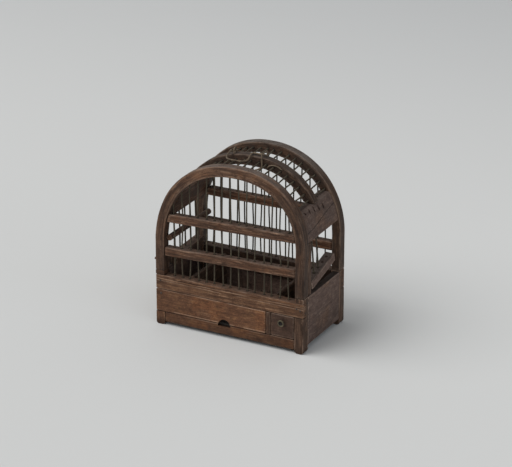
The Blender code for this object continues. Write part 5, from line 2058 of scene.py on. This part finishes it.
@dataclass
class Studio:
    """The pale floor, the lamps, the surroundings and the camera."""

    target: Point = (0.00036, 0.00115, 0.0494)
    azimuth: float = 27.88
    elevation: float = 22.33
    distance: float = 1.2689
    lens: float = 164.54
    sensor: float = 36.0
    clip: Flat = (0.05, 30.0)
    shift: Flat = (0.0114, 0.0107)
    floor_half: float = 4.0
    floor_tone: Colour = (0.585, 0.588, 0.578)
    far_tone: Colour = (0.410, 0.416, 0.418)
    far_turn: float = 30.0
    far_span: Flat = (0.10, 0.90)
    sky: float = 0.42
    lamps: tuple[Lamp, ...] = (Lamp("broad_lamp", (-0.80, -0.62, 1.24), 2.24, 0.92),
                               Lamp("side_lamp", (0.95, -0.42, 0.32), 0.64, 1.25, (0.88, 1.0, 1.14)))

    def floor(self) -> None:
        """Lay the floor, with painted shade that darkens it away from the camera, where the light falls off.
        """
        half = self.floor_half
        mesh = bpy.data.meshes.new("studio_floor")
        corners = [(-half, -half, 0), (half, -half, 0), (half, half, 0), (-half, half, 0)]
        mesh.from_pydata(corners, [], [(0, 1, 2, 3)])
        material = bpy.data.materials.new("pale_floor")
        material.use_nodes = True
        shader = material.node_tree.nodes["Principled BSDF"]
        graph = Graph(material.node_tree)
        turn = math.radians(self.azimuth - self.far_turn)
        place = graph.add("ShaderNodeTexCoord").outputs["Object"]
        away = graph.add("ShaderNodeVectorMath", {0: place, 1: (-math.sin(turn), math.cos(turn), 0)},
                         operation="DOT_PRODUCT")
        far = graph.span(away.outputs["Value"], *self.far_span)
        tone = graph.blend(far, (*self.floor_tone, 1.0), (*self.far_tone, 1.0))
        for label, value in (("Base Color", tone), ("Roughness", 0.9), ("Specular IOR Level", 0.1)):
            graph.feed(shader.inputs[label], value)
        mesh.materials.append(material)
        floor = bpy.data.objects.new("studio_floor", mesh)
        bpy.context.scene.collection.objects.link(floor)

    def surroundings(self) -> None:
        """Give the room an even pale light."""
        world = bpy.data.worlds.new("pale_room")
        world.use_nodes = True
        background = world.node_tree.nodes["Background"]
        background.inputs["Color"].default_value = (1.0, 1.0, 1.0, 1.0)
        background.inputs["Strength"].default_value = self.sky
        bpy.context.scene.world = world

    def camera(self) -> None:
        """Set the camera at the photograph's angle."""
        data = bpy.data.cameras.new("view_camera")
        data.sensor_width = self.sensor
        data.lens = self.lens
        data.shift_x, data.shift_y = self.shift
        data.clip_start, data.clip_end = self.clip
        turn, rise = math.radians(self.azimuth), math.radians(self.elevation)
        back = Vector((math.sin(turn) * math.cos(rise), -math.cos(turn) * math.cos(rise), math.sin(rise)))
        camera = bpy.data.objects.new("view_camera", data)
        camera.location = Vector(self.target) + back * self.distance
        camera.rotation_mode = "QUATERNION"
        camera.rotation_quaternion = (-back).to_track_quat("-Z", "Y")
        bpy.context.scene.collection.objects.link(camera)
        bpy.context.scene.camera = camera

    def build(self) -> None:
        """Build the whole studio."""
        self.floor()
        self.surroundings()
        for lamp in self.lamps:
            lamp.build()
        self.camera()
        bpy.context.scene.view_settings.view_transform = "Standard"


def main() -> None:
    """Build and dress the whole cage.

    The noise starts from the clock unless it has a seed, so it gets one before any piece is built.
    """
    logging.basicConfig(level=logging.INFO, format="%(message)s")
    noise.seed_set(NOISE_SEED)
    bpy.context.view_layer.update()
    Studio().build()
    maker = Maker(Finisher(), Trees())
    roof = RoofWires(maker)
    assemblies = (Hoops(maker), WireWalls(maker), roof, Base(maker), Nails(maker), SlidingDoors(maker),
                  LitterTray(maker), SeedDrawer(maker), BailWork(maker, roof))
    for assembly in assemblies:
        LOG.info("building %s", type(assembly).__name__)
        assembly.build()


if __name__ == "__main__":
    main()
